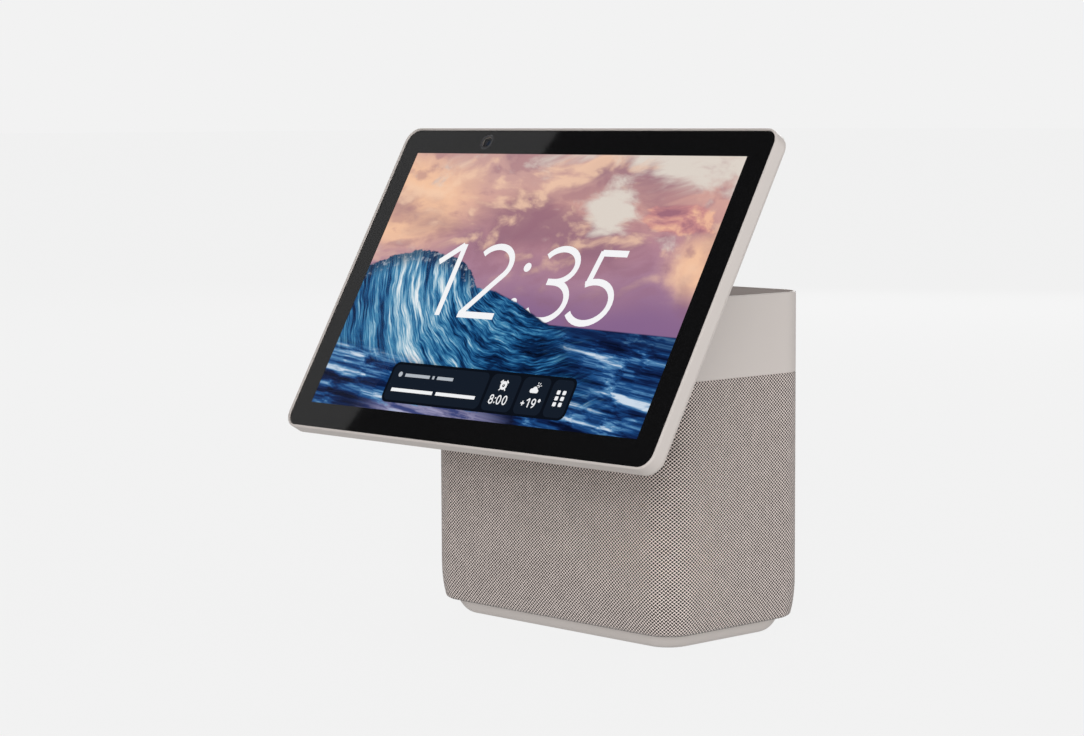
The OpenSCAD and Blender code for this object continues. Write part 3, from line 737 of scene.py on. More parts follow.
def prism(name, outline, place, low, high, round_edge=0.0, segments=3):
    """An outline drawn out from one level to another, with its end edges rounded."""
    made = bmesh.new()
    bottom = [made.verts.new(place(x, y, low)) for x, y in outline]
    top = [made.verts.new(place(x, y, high)) for x, y in outline]
    ends = [made.faces.new(bottom), made.faces.new(top)]
    for i in range(len(outline)):
        j = (i + 1) % len(outline)
        made.faces.new((bottom[i], bottom[j], top[j], top[i]))
    bmesh.ops.recalc_face_normals(made, faces=made.faces)
    if round_edge:
        edges = [edge for face in ends for edge in face.edges]
        bmesh.ops.bevel(
            made, geom=edges, offset=round_edge, segments=segments, profile=0.5, affect="EDGES"
        )
    return settled_shape(name, made)


def carve(piece, tools, operation="DIFFERENCE", angle=35):
    """Cuts closed tool shapes out of a piece, or joins them to it."""
    for tool in tools:
        change = piece.modifiers.new("carve", "BOOLEAN")
        change.operation = operation
        change.solver = "EXACT"
        change.object = tool
        settle(piece)
        bpy.data.objects.remove(tool)
    soften(piece, angle)


def joined(name, parts):
    """Several objects as one."""
    made = bmesh.new()
    for part in parts:
        made.from_mesh(part.data)
        bpy.data.objects.remove(part)
    return poured(name, made)


def dress(piece, material, body, slot, *nodes):
    """Gives a finished piece its material and its body, and hides the CAD nodes that it stands for; the slot is
    not used.
    """
    piece.data.materials.clear()
    piece.data.materials.append(material)
    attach(piece, body)
    if nodes:
        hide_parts(*nodes)


def row_tree(name):
    """A Geometry Nodes tree that repeats an item along a straight line."""
    tree = bpy.data.node_groups.new(name, "GeometryNodeTree")
    face = tree.interface
    for label, kind in (
        ("Start", "NodeSocketVector"), ("Step", "NodeSocketVector"), ("Count", "NodeSocketInt"),
        ("Item", "NodeSocketObject"), ("Material", "NodeSocketMaterial"),
    ):
        face.new_socket(label, in_out="INPUT", socket_type=kind)
    face.new_socket("Geometry", in_out="OUTPUT", socket_type="NodeSocketGeometry")
    inputs = tree.nodes.new("NodeGroupInput")
    line = tree.nodes.new("GeometryNodeMeshLine")
    line.mode = "OFFSET"
    item = tree.nodes.new("GeometryNodeObjectInfo")
    place = tree.nodes.new("GeometryNodeInstanceOnPoints")
    real = tree.nodes.new("GeometryNodeRealizeInstances")
    coat = tree.nodes.new("GeometryNodeSetMaterial")
    output = tree.nodes.new("NodeGroupOutput")
    for source, target in (
        (inputs.outputs["Start"], line.inputs["Start Location"]),
        (inputs.outputs["Step"], line.inputs["Offset"]),
        (inputs.outputs["Count"], line.inputs["Count"]),
        (inputs.outputs["Item"], item.inputs["Object"]),
        (line.outputs["Mesh"], place.inputs["Points"]),
        (item.outputs["Geometry"], place.inputs["Instance"]),
        (place.outputs["Instances"], real.inputs["Geometry"]),
        (real.outputs["Geometry"], coat.inputs["Geometry"]),
        (inputs.outputs["Material"], coat.inputs["Material"]),
        (coat.outputs["Geometry"], output.inputs["Geometry"]),
    ):
        tree.links.new(source, target)
    return tree


def row_of(name, item, start, step, count, material):
    """The item repeated at even steps as one plain mesh. The item itself is drawn at the origin."""
    tree = bpy.data.node_groups.get("row_along_line") or row_tree("row_along_line")
    piece = piece_from(name, [], [])
    rows = piece.modifiers.new("row", "NODES")
    rows.node_group = tree
    values = {"Start": start, "Step": step, "Count": count, "Item": item, "Material": material}
    for socket in tree.interface.items_tree:
        if socket.in_out == "INPUT":
            rows[socket.identifier] = values[socket.name]
    settle(piece)
    bpy.data.objects.remove(item)
    soften(piece)
    return piece


# ---- The base ----


def base_loop(inset, radius, tighten=1.0):
    """The base's outline, set in from its side. Its corners tighten as it goes in."""
    tightest = 1.5 * MM
    corner = max(radius - inset * tighten, tightest)
    return rounded_loop(BASE_W - 2 * inset, BASE_D - 2 * inset, corner)


def base_levels(profile, radius, tighten=1.0):
    """Loops of the base's outline at each (inset, height) of a profile in millimetres."""
    return [(base_loop(inset * MM, radius, tighten), height * MM) for inset, height in profile]


# The sleeve narrows below SKIRT_TOP, and its hem rolls in below SKIRT_LOW, all in millimetres
SKIRT_TOP = 26.0
SKIRT_LOW = 9.2
SKIRT_IN = 1.85
ROLL_IN = 3.2
HEM = CLOTH_LOW / MM + 0.8
CLOTH_END = CLOTH_TOP / MM


def cloth_skirt():
    """(inset, height) up the part of the sleeve that narrows towards the foot."""
    heights = (SKIRT_LOW, 11, 12.5, 14.5, 17, 20, 23, SKIRT_TOP)
    return [(SKIRT_IN * ((SKIRT_TOP - z) / (SKIRT_TOP - SKIRT_LOW)) ** 2.2, z) for z in heights]


def map_cloth(piece, rows, radius):
    """Writes the UV map: metres round the sleeve, and metres up its profile."""
    outline = base_loop(0, radius)
    round_it = [0.0]
    for a, b in zip(outline, outline[1:] + outline[:1]):
        round_it.append(round_it[-1] + math.dist(a, b))
    up_it = [0.0]
    for a, b in zip(rows, rows[1:]):
        up_it.append(up_it[-1] + math.dist(a, b) * MM)
    layer = piece.data.uv_layers.new(name="cloth")
    count = len(outline)
    for face in piece.data.polygons:
        columns = [piece.data.loops[i].vertex_index % count for i in face.loop_indices]
        wraps = max(columns) - min(columns) > 1
        for i, column in zip(face.loop_indices, columns):
            row = piece.data.loops[i].vertex_index // count
            last = count if wraps and column == 0 else column
            layer.data[i].uv = (round_it[last], up_it[row])


def inlet_middle():
    """The power inlet's axis, at the middle of the base."""
    return Vector((0, 0, sum(span("inlet_bezel", Z_UP)) / 2))


def make_cloth(sizes, finishes):
    """The woven sleeve: a closed skin with a rolled hem, cut open for the power inlet."""
    radius = sizes.corner_radius
    skin = sizes.cloth_thickness / MM
    skirt = cloth_skirt()
    hem = arc((SKIRT_IN + ROLL_IN, SKIRT_LOW), (-ROLL_IN, HEM - SKIRT_LOW), 90, 18, 4)
    outer = hem + skirt + [(0, 60), (0, 95), (0, CLOTH_END - 0.5), (0.35, CLOTH_END)]
    inner = [(skin, CLOTH_END), (skin, SKIRT_TOP)]
    inner += [(inset + skin, z) for inset, z in reversed(skirt[:-1])]
    inner += [(6.0, HEM + skin), (6.9, HEM + skin), (6.9, HEM)]
    rows = outer + inner
    piece = loft("fabric_cover", base_levels(rows, radius), on_base, ring=True)
    map_cloth(piece, rows + rows[:1], radius)
    spot = inlet_middle()
    hole = prism(
        "opening", circle((0, 0), 8.6 * MM), lambda a, b, h: spot + Vector((a, h, b)), BASE_D / 4, BASE_D
    )
    carve(piece, [hole])
    weave = cloth_weave("cloth_weave", sizes, (*finishes.thread, 1), (*finishes.gap, 1))
    dress(piece, weave, "base", "cloth", "fabric_sleeve")
    around = 2 * (BASE_W + BASE_D) - (8 - 2 * math.pi) * radius


def sewing_thread(name):
    """Twisted sewing thread."""
    finish = Finish(name)
    twist = finish.math("SINE", finish.dot(finish.where, (1, 0, 1)) * 9000)
    tint = finish.mix(twist * 0.5 + 0.5, paint(128, 118, 112), paint(186, 176, 170))
    return finish.coat(Base_Color=tint, Roughness=0.85, Normal=finish.bump(twist, 0.00005))


def make_seam(sizes):
    """A row of slanted stitches up the back, where the sleeve is joined."""
    thread = sewing_thread("seam_thread")
    slant = 0.45
    pitch = 2.55 * MM
    low = 33 * MM
    stitch = prism(
        "stitch", pill(0.7 * MM, 2.1 * MM), lambda x, z, h: Vector((z * slant, h, x)),
        -0.5 * MM, 0.35 * MM, 0.2 * MM,
    )
    start = (0, BASE_D / 2, low)
    piece = row_of("sleeve_seam", stitch, start, (0, 0, pitch), sizes.stitches, thread)
    dress(piece, thread, "base", "cloth")


BARREL_RADIUS = 9.0
TROUGH_HALF = 41.2


def on_axle(y, z, x):
    """A point that lies y behind and z above the hinge's axle, x along it."""
    return AXLE + Vector((x, y, z))


def rod_along(name, radius, x0, x1):
    """A closed rod along the hinge's axle, in millimetres."""
    return prism(name, circle((0, 0), radius * MM, 90), on_axle, x0 * MM, x1 * MM)


def make_collar(sizes, shell):
    """The smooth band above the sleeve, with bosses for the hinge and a trough that clears its barrel."""
    top = COLLAR_TOP / MM
    plate = PLATE_Z[0] / MM
    edge = 0.8
    wall = 2.6
    shelf = 1.4
    profile = [(wall, CLOTH_END), (0.25, CLOTH_END), (0, CLOTH_END + 0.25)]
    profile += arc((edge, top - edge), (-edge, edge), 0, 90, 6)
    profile += [(1.15, top), (1.2, top - 0.1), (1.2, plate), (4.2, plate)]
    profile += [(4.2, plate - shelf), (wall, plate - shelf)]
    piece = loft("collar_shell", base_levels(profile, sizes.corner_radius), on_base, ring=True)
    low, high = CLOTH_END - 3.5, CLOTH_END + 1.9
    lip = base_levels([(4.8, low), (3.2, low), (3.2, high), (4.8, high)], sizes.corner_radius)
    added = [loft("lip", lip, on_base, ring=True)]
    cuts = [rod_along("trough", BARREL_RADIUS + 0.6, -TROUGH_HALF, TROUGH_HALF)]
    outline = circle((0, 0), BARREL_RADIUS * MM)
    for side in (-1, 1):
        near, far = side * TROUGH_HALF * MM, side * 57 * MM
        added.append(prism("boss", outline, on_axle, near, far, 1.6 * MM, 5))
        cuts.append(rod_along("bore", 7, side * 40, side * 55.6))
    carve(piece, added, "UNION")
    carve(piece, cuts, angle=30)
    dress(piece, shell, "base", "greige", "collar")


def make_top_plate(sizes, tint):
    """The flat plate inside the collar, with a softened edge."""
    low, high = PLATE_Z[0] / MM, PLATE_Z[1] / MM
    profile = [(1.35, low), (1.35, high - 0.25), (1.45, high - 0.07), (1.65, high)]
    piece = loft("top_panel", base_levels(profile, sizes.corner_radius), on_base)
    finish = moulded_plastic("plate_plastic", tint, 0.8, shine=0.04)
    dress(piece, finish, "base", "taupe", "top_plate")


def make_foot(sizes, shell):
    """The foot that curves in under the sleeve, and the rubber pad below it."""
    low = FOOT_Z[0] / MM
    top = HEM - 0.1
    tighten = 0.45
    curve = [
        (13.4, 0), (12.2, 0), (11.3, 0.2), (10.4, 0.7), (9.6, 1.4), (8.9, 2.2),
        (8.25, 3.1), (7.6, 4.2), (7.1, 5.2), (6.7, 6.0),
    ]
    profile = [(inset, low + rise) for inset, rise in curve] + [(6.4, top), (8.5, top)]
    foot = loft("foot_shell", base_levels(profile, sizes.corner_radius, tighten), on_base)
    dress(foot, shell, "base", "greige", "foot_plate")
    pad_top = span("foot_pad", Z_UP)[1] / MM
    profile = [(13.9, 0), (13.6, 0.12), (13.5, 0.4), (13.5, pad_top)]
    pad = loft("rubber_pad", base_levels(profile, sizes.corner_radius, tighten), on_base)
    rubber = moulded_plastic("foot_rubber", paint(*RUBBER), 0.8, 0.1, 0.0001)
    dress(pad, rubber, "base", "rubber", "foot_pad")


def make_inlet(dark):
    """The rounded ring round the power socket."""
    deep, face = (value / MM for value in span("inlet_bezel", INWARD))
    bore, body, flange = 6.5, 8.5, 9.6
    outer, inner = 0.5, 0.6
    profile = [(bore, deep), (body, deep), (body, face - 0.9), (flange, face - 0.9)]
    profile += arc((flange - outer, face - outer), (outer, outer), 0, 90, 4)
    profile += arc((bore + inner, face - inner), (inner, inner), 90, 180, 4)
    profile = [(radius * MM, along * MM) for radius, along in profile]
    ring = lathe("inlet_ring", profile, inlet_middle(), INWARD, RIGHT, 72)
    dress(ring, dark, "base", "dark_plastic", "inlet_bezel")


# ---- The display ----


def case_loop(inset, radius):
    """The casing's outline, set in from its side, in millimetres."""
    tightest = 1.2 * MM
    corner = max(radius - inset * MM, tightest)
    return rounded_loop(CASE_W - 2 * inset * MM, CASE_H - 2 * inset * MM, corner, 14)


def case_levels(profile, radius):
    """Loops of the casing's outline at each (inset, depth) of a profile in millimetres."""
    return [(case_loop(inset, radius), depth * MM) for inset, depth in profile]


def top_edge(u, w, v):
    """A point of the display, for outlines drawn on its top edge."""
    return on_display(u, v, w)


def box_cut(name, low, high):
    """A box between two corners given as (u, w, v) in millimetres."""
    sides = [(low[0], low[1]), (high[0], low[1]), (high[0], high[1]), (low[0], high[1])]
    outline = [(u * MM, w * MM) for u, w in sides]
    return prism(name, outline, top_edge, low[2] * MM, high[2] * MM)


def middle(node):
    """The (u, w) middle of a node of the display, in millimetres."""
    across, behind = span(node, RIGHT), span(node, BACK)
    return sum(across) / 2 / MM, (sum(behind) / 2 - GLASS_FACES[0]) / MM


def highest(node):
    """The height of a node's top above the middle of the display, in millimetres."""
    return (span(node, UP)[1] - FACE.dot(UP)) / MM


def pill_at(name, length, depth, at, low, high, round_edge=0.0, segments=3):
    """A bar with round ends that stands on the display's top edge, in millimetres."""
    outline = [(x + at[0] * MM, y + at[1] * MM) for x, y in pill(length * MM, depth * MM)]
    return prism(name, outline, top_edge, low * MM, high * MM, round_edge * MM, segments)


def knob_middle():
    """Where the shutter's knob stands at rest, in millimetres right of the middle."""
    node = frame["nodes"]["camera_shutter"]
    high = span("camera_shutter", UP)[1]
    tops = [vertex.co.x for vertex in node.data.vertices if vertex.co.dot(UP) > high - 0.1 * MM]
    return (min(tops) + max(tops)) / 2 / MM


def camera_place():
    """The lens's (u, v), in metres."""
    v = sum(span("camera_lens", UP)) / 2 - FACE.dot(UP)
    return sum(span("camera_lens", RIGHT)) / 2, v


BUTTONS = {"mic_mute": "mute_button", "volume_down": "down_button", "volume_up": "up_button"}
MIC_U = (-100, 100)
MIC_W = 4.2
KNOB_W = 3.9
CASE_TOP = CASE_H / 2 / MM


def top_openings(sizes):
    """Shapes that open the casing's top edge for the buttons, the shutter and the microphones."""
    wall = 1.3
    shelf = CASE_TOP - 7.5
    under = CASE_TOP - wall
    above = CASE_TOP + 1
    cuts = [
        box_cut("pocket", (8, 2, shelf), (68, 5.9, under)),
        box_cut("pocket", (-68.2, 1.2, 70.9), (-47.2, 5.8, under)),
    ]
    gap = 0.5
    length, depth = sizes.cap_length / MM + gap, sizes.cap_depth / MM + gap
    for node in BUTTONS:
        cuts.append(pill_at("opening", length, depth, middle(node), under - 1, above))
    reach = joint("shutter_slide")["range_m"][1] / MM
    at = (knob_middle() - reach / 2, KNOB_W)
    cuts.append(pill_at("track", 7.5 + reach, 3.5, at, under - 1, above))
    for u in MIC_U:
        cuts.append(pill_at("mic", 1.2, 1.19, (u, MIC_W), CASE_TOP - 2.9, above))
        cuts.append(box_cut("pocket", (u - 5.3, 2.6, shelf), (u + 5.3, 5.8, CASE_TOP - 3)))
    return cuts


def make_casing(sizes, shell):
    """The frame round the glass: a rounded rim, a seat for the glass and openings along its top edge."""
    rim = sizes.rim / MM
    side = SIDE_DEPTH / MM
    edge = 0.8
    profile = [(9.6, 5.7), (3.4, 5.7), (3.4, side), (0.12, side), (0, side - 0.12)]
    profile += arc((edge, edge), (-edge, -edge), 0, 90, 6)
    profile += [(rim - 0.06, 0), (rim, 0.06), (rim, 1.05), (9.6, 1.05), (9.6, 4.7)]
    piece = loft("display_casing", case_levels(profile, sizes.corner_radius), on_display)
    window = prism("window", circle(camera_place(), 4.2 * MM), on_display, 0.5 * MM, 6.5 * MM)
    carve(piece, [*top_openings(sizes), window], angle=30)
    dress(piece, shell, "display", "greige", "display_frame")


def make_rear(sizes, shell):
    """The domed cover behind the display, with slots for the hinge and its cable."""
    side = SIDE_DEPTH / MM
    deep = CASE_DEPTH / MM
    dome = [(14, 0), (9, 0), (7.6, 0.14), (6.2, 0.46), (4.8, 1), (3.4, 1.72), (2.1, 2.5)]
    profile = [(inset, deep - fall) for inset, fall in dome]
    profile += arc((2, side), (-2, 2), 55, 0, 7)
    profile += [(0.12, side), (3.3, side), (3.3, 7.6), (6.5, 7.6), (6.5, deep - 1.5)]
    piece = loft("rear_shell", case_levels(profile, sizes.corner_radius), on_display)
    v = AXLE_V / MM
    slots = [
        box_cut("slot", (u - half, 8, v - down), (u + half, 14, v + up))
        for u, half, down, up in ((-36, 3.4, 6.5, 3.6), (36, 3.4, 6.5, 3.6), (0, 9, 4, 3))
    ]
    carve(piece, slots, angle=30)
    dress(piece, shell, "display", "greige", "display_rear_cover")


def make_barrel(shell):
    """The hinge's barrel and the neck that joins it to the rear cover."""
    w, v = AXLE_W / MM, AXLE_V / MM
    root = CASE_DEPTH / MM - 0.6
    outline = [(root, v - 8.9), (w, v - BARREL_RADIUS)]
    outline += arc((w, v), (BARREL_RADIUS, BARREL_RADIUS), -90, 146, 40)
    outline += arc((w - 12.9, v + 8.6), (3.6, 3.6), -20, -70, 5)[1:]
    outline += [(root, v + 5.0)]
    outline = [(a * MM, b * MM) for a, b in outline]
    piece = prism(
        "barrel_shell", outline, lambda a, b, h: on_display(h, b, a), -BARREL_HALF, BARREL_HALF, 1.1 * MM, 4
    )
    carve(piece, [rod_along("bore", 7.05, -60, 60)], angle=32)
    dress(piece, shell, "display", "greige", "hinge_barrel_cover")


def make_glass(sizes):
    """The cover glass, with its front edge rounded, and the black print behind its border."""
    thick = (GLASS_FACES[1] - GLASS_FACES[0]) / MM
    inset = (CASE_W / 2 - GLASS_SIDES[1]) / MM
    edge = 0.3
    profile = [(inset, thick), (inset, edge)]
    profile += arc((inset + edge, edge), (-edge, -edge), 0, 90, 4)[1:]
    glass = loft("glass_pane", case_levels(profile, sizes.corner_radius), on_display)
    dress(glass, clear_glass("cover_glass"), "display", "cover_glass", "cover_glass")
    outer = case_loop(inset, sizes.corner_radius)
    inner = rounded_loop(PICTURE_W, PICTURE_H, 0.2 * MM, 14)
    inner = [(x + PICTURE_U, y) for x, y in inner]
    near, far = (thick + 0.03) * MM, (thick + 0.13) * MM
    levels = [(outer, far), (outer, near), (inner, near), (inner, far)]
    film = loft("border_print", levels, on_display, ring=True)
    hole = prism("hole", circle(camera_place(), 4.1 * MM), on_display, 0, 3 * MM)
    carve(film, [hole])
    dress(film, glossy_print("border_black"), "display", "black_border", "border_film")


def make_camera():
    """A ring printed round the camera's window, and its domed lens."""
    spot = on_display(*camera_place(), 0)
    bore, edge = 3.0 * MM, 4.05 * MM
    profile = [(bore, 0.93 * MM), (edge, 0.92 * MM), (edge, 1.15 * MM), (bore, 1.15 * MM)]
    ring = lathe("camera_ring", profile, spot, BACK, RIGHT, 64)
    dress(ring, moulded_plastic("camera_ring", paint(58, 58, 61), 0.3), "display", "black_border")
    front, behind = (value - GLASS_FACES[0] for value in span("camera_lens", BACK))
    radius = 1.65 * MM
    dome = [(0.0, front - 0.25 * MM), (0.7 * MM, front - 0.2 * MM), (1.25 * MM, front - 0.06 * MM)]
    dome += [(radius, front + 0.15 * MM), (radius, behind), (0.0, behind)]
    lens = lathe("lens_dome", dome, spot, BACK, RIGHT, 40)
    dress(lens, coated_lens("lens_coating"), "display", "lens_glass", "camera_lens")


def make_buttons(sizes, shell):
    """Three pill-shaped caps on flanges that hold them in the casing."""
    length, depth = sizes.cap_length / MM, sizes.cap_depth / MM
    low, high = CASE_TOP - 4.1, CASE_TOP - 2.0
    for node, body in BUTTONS.items():
        at = middle(node)
        cap = pill_at("cap", length, depth, at, low + 0.2, highest("mic_mute"), 0.35, 4)
        flange = pill_at("flange", length + 2, depth, at, low, high)
        carve(cap, [flange], "UNION")
        cap.name = node + "_cap"
        dress(cap, shell, body, "greige", node)


def make_shutter(sizes, dark):
    """The sliding camera cover: a thin blade, and a knob with grip ribs on the top edge."""
    knob_u = knob_middle()
    high = highest("camera_shutter")
    blade_v = camera_place()[1] / MM
    under = CASE_TOP - 1.6
    piece = box_cut("shutter_slide_knob", (knob_u - 4.4, 1.35, blade_v - 2.9), (knob_u + 6, 1.75, under))
    arm = box_cut("arm", (knob_u - 4.4, 1.6, blade_v + 3.3), (knob_u + 4.6, 5.4, under))
    knob = pill_at("knob", 7, 3, (knob_u, KNOB_W), CASE_TOP - 2, high - 0.12, 0.2)
    carve(piece, [arm, knob], "UNION")
    dress(piece, dark, "shutter", "dark_plastic", "camera_shutter")
    rib = prism(
        "rib", pill(2.2 * MM, 0.4 * MM), lambda a, b, h: RIGHT * b + BACK * a + UP * h,
        0, 0.25 * MM, 0.08 * MM, 2,
    )
    pitch = 0.9 * MM
    start = on_display(knob_u * MM - pitch * (sizes.ribs - 1) / 2, (high - 0.25) * MM, KNOB_W * MM)
    ribs = row_of("shutter_ribs", rib, start, RIGHT * pitch, sizes.ribs, dark)
    dress(ribs, dark, "shutter", "dark_plastic")


# ---- Marks on the screen ----

# Strokes of each sign on a body 1 high: lists of points, from arcs and straight lines
SIGNS = {
    "1": [[(0, 0.735), (0.352, 0.985)], [(0.36, 0), (0.36, 1)]],
    "2": [
        arc((0.29, 0.745), (0.3, 0.24), 148, -32, 20) + [(0.4, 0.46), (0.2, 0.23), (0.03, 0.04)],
        [(0, 0.035), (0.65, 0.035)],
    ],
    "3": [
        arc((0.215, 0.77), (0.295, 0.225), 150, -90, 22) + [(0.11, 0.545)],
        [(0.11, 0.545)] + arc((0.225, 0.285), (0.325, 0.26), 90, -152, 24),
    ],
    "5": [
        [(0.17, 0.965), (0.6, 0.965)],
        [(0.185, 0.985), (0.125, 0.53)],
        arc((0.27, 0.305), (0.345, 0.275), 122, -146, 24),
    ],
    "0": [arc((0.28, 0.5), (0.26, 0.47), 0, 360, 32)],
    "8": [arc((0.28, 0.755), (0.21, 0.215), 0, 360, 24), arc((0.28, 0.28), (0.26, 0.25), 0, 360, 28)],
    "9": [arc((0.28, 0.68), (0.25, 0.28), 0, 360, 28), arc((0.1, 0.62), (0.43, 0.6), 0, -82, 14)],
    "+": [[(0.04, 0.42), (0.56, 0.42)], [(0.3, 0.16), (0.3, 0.68)]],
    "degree": [arc((0.15, 0.84), (0.11, 0.12), 0, 360, 16)],
}


def ribbon(points, width, near, far):
    """Corners and faces of a thin bar that follows points on the screen."""
    sides = []
    for i, (x, y) in enumerate(points):
        a, b = points[max(i - 1, 0)], points[min(i + 1, len(points) - 1)]
        run = math.dist(a, b) or 1.0
        nx, ny = (a[1] - b[1]) / run, (b[0] - a[0]) / run
        sides.append(((x + nx * width / 2, y + ny * width / 2), (x - nx * width / 2, y - ny * width / 2)))
    corners = []
    for left, right in sides:
        corners += [(*left, near), (*right, near), (*right, far), (*left, far)]
    faces = [(0, 1, 2, 3)]
    for i in range(len(points) - 1):
        for k in range(4):
            j = (k + 1) % 4
            faces.append((4 * i + k, 4 * i + 4 + k, 4 * i + 4 + j, 4 * i + j))
    last = 4 * (len(points) - 1)
    faces.append((last + 3, last + 2, last + 1, last))
    return corners, faces


def marks(name, strokes, dots, near, far):
    """One object from strokes, each (points, width), and dots, each (place, radius), in millimetres."""
    made = bmesh.new()

    def corner(u, v, w):
        return made.verts.new(on_screen(u * MM, v * MM, w * MM))

    for points, width in strokes:
        corners, faces = ribbon(points, width, near, far)
        verts = [corner(*place) for place in corners]
        for face in faces:
            made.faces.new([verts[i] for i in face])
    for place, radius in dots:
        outline = circle(place, radius, 24)
        ends = [[corner(u, v, w) for u, v in outline] for w in (near, far)]
        made.faces.new(ends[0])
        made.faces.new(ends[1])
        for i in range(len(outline)):
            j = (i + 1) % len(outline)
            made.faces.new((ends[0][i], ends[0][j], ends[1][j], ends[1][i]))
    return settled_shape(name, made)


def text_strokes(signs, lefts, base, high, width):
    """Strokes of several signs, each from its own left edge."""
    return [
        ([(left + x * high, base + y * high) for x, y in points], width)
        for sign, left in zip(signs, lefts)
        for points in SIGNS[sign]
    ]


def plate_on_screen(name, low, high, corner, near, far):
    """A thin plate with rounded corners between two places on the screen, in millimetres."""
    u, v = (low[0] + high[0]) / 2, (low[1] + high[1]) / 2
    loop = rounded_loop((high[0] - low[0]) * MM, (high[1] - low[1]) * MM, corner * MM, 6)
    outline = [(x + u * MM, y + v * MM) for x, y in loop]
    return prism(name, outline, on_screen, near * MM, far * MM)


def make_clock(glow):
    """The time, in thin figures."""
    strokes = text_strokes("1235", (-59.9, -32.6, 13.2, 38.6), -17.9, 37.3, 3.25)
    dots = [((1.0, 9.1), 2.3), ((0.8, -8.9), 2.3)]
    piece = marks("clock_figures", strokes, dots, 0.97, 1.0)
    dress(piece, lit_mark("clock_light", paint(246, 246, 248), glow, True), "display", "screen")


# The marks on the tiles lie between these depths behind the glass's front
MARK_NEAR = 0.94
MARK_FAR = 0.96


def make_tiles(glow):
    """The bar at the foot of the picture, and its four tiles."""
    bar = plate_on_screen("widget_bar", (-61, -63.6), (61.5, -43), 4, 1.015, 1.03)
    dress(bar, lit_mark("widget_navy", paint(11, 16, 25), glow), "display", "screen")
    tiles = [
        plate_on_screen("tile", (left, -62.4), (right, -44.3), 3, 0.98, 0.995)
        for left, right in ((-59.6, 5.6), (7.4, 26.5), (28.3, 45.6), (47.4, 60.1))
    ]
    navy = lit_mark("tile_navy", paint(21, 29, 41), glow)
    dress(joined("widget_tiles", tiles), navy, "display", "screen")


def flat_bars(v, width, *ends):
    """Plain bars that stand for a line of text, each from one place across to another."""
    return [([(left, v), (right, v)], width) for left, right in ends]


def alarm_strokes(u, v):
    """An alarm clock: a thick ring, two bells, two feet and a hand."""
    strokes = [(arc((u, v), (1.5, 1.5), 0, 360, 24), 1.3)]
    for side in (-1, 1):
        strokes.append(([(u + side * 1.2, v + 2.5), (u + side * 2.5, v + 1.3)], 0.8))
        strokes.append(([(u + side * 1.3, v - 1.6), (u + side * 2.0, v - 2.5)], 0.6))
    strokes.append(([(u, v - 0.1), (u, v + 0.9)], 0.35))
    return strokes


def cloud_marks(u, v):
    """A cloud of round puffs in front of a sun with rays."""
    puffs = [((u - 1.5, v - 0.6), 1.1), ((u + 0.3, v - 0.1), 1.6), ((u + 1.7, v - 0.7), 1.0)]
    strokes = [([(u - 1.6, v - 1.2), (u + 1.8, v - 1.2)], 0.95)]
    sun = (u + 1.5, v + 1.4)
    near, far = (arc(sun, (reach, reach), 20, 100, 2) for reach in (1.4, 2.3))
    strokes += [(list(ray), 0.35) for ray in zip(near, far)]
    strokes.append((arc(sun, (0.75, 0.75), -30, 150, 10), 0.4))
    return strokes, puffs


def make_widgets(glow):
    """What the tiles show: two lines of plain bars, an alarm, the weather and a grid of squares."""
    quiet = flat_bars(-49.4, 1.6, (-50.5, -33.5), (-31.6, -30.2), (-28.3, -17.4))
    note = marks("widget_note", quiet, [((-54, -49.2), 1.3)], MARK_NEAR, MARK_FAR)
    dress(note, lit_mark("note_grey", paint(178, 184, 192), glow), "display", "screen")
    base, high, width = -58.9, 4.3, 0.65
    strokes = flat_bars(-57.1, 1.7, (-56.2, -27.5), (-25.2, 1.4))
    strokes += text_strokes("800", (11.0, 15.9, 19.7), base, high, width)
    strokes += text_strokes(("+", "1", "9", "degree"), (31.4, 34.9, 38.2, 41.9), base, high, width)
    strokes += alarm_strokes(16.6, -49.7)
    cloud, puffs = cloud_marks(36.8, -50.2)
    dots = [((14.7, -58.2), 0.4), ((14.7, -56.0), 0.4), *puffs]
    figures = marks("widget_figures", strokes + cloud, dots, MARK_NEAR, MARK_FAR)
    white = lit_mark("mark_white", paint(242, 243, 245), glow)
    dress(figures, white, "display", "screen")
    columns = []
    for u in (52.3, 55.9):
        cell = prism(
            "cell", rounded_loop(2.1 * MM, 2.0 * MM, 0.5 * MM, 4),
            lambda a, b, h: RIGHT * a + UP * b + BACK * h, 0, 0.01 * MM,
        )
        start = on_screen(u * MM, -50.4 * MM, MARK_NEAR * MM)
        columns.append(row_of("column", cell, start, UP * (-2.85 * MM), 3, white))
    dress(joined("widget_grid", columns), white, "display", "screen")


# ---- Finishes of the nodes that stay ----


def node_finishes(glow):
    """What makes the finish of each slot, from its name."""
    def plastic(tint, *values):
        return lambda name: moulded_plastic(name, paint(*tint), *values)

    def metal(tint, *values):
        return lambda name: brushed_metal(name, paint(*tint), *values)

    return {
        "greige": plastic(SHELL),
        "taupe": plastic(PLATE),
        "cloth": plastic((150, 140, 134), 0.9, 0.1, 0.0001),
        "dark_plastic": plastic(DARK, 0.55, 0.12, 0.00004),
        "rubber": plastic(RUBBER, 0.8, 0.1, 0.0001),
        "cover_glass": clear_glass,
        "black_border": plastic((16, 16, 17), 0.35),
        "screen": lambda name: lit_picture(name, glow),
        "lens_glass": coated_lens,
        "steel": metal((178, 180, 184), 0.28),
        "aluminium": metal((205, 206, 208), 0.35, INWARD),
        "circuit_board": circuit_board,
        "ribbon": plastic((196, 122, 52), 0.3, 0.08),
        "spider_cloth": plastic((190, 152, 70), 0.85, 0.15, 0.0001),
        "cone_paper": plastic((34, 34, 36), 0.75, 0.2, 0.0001),
    }


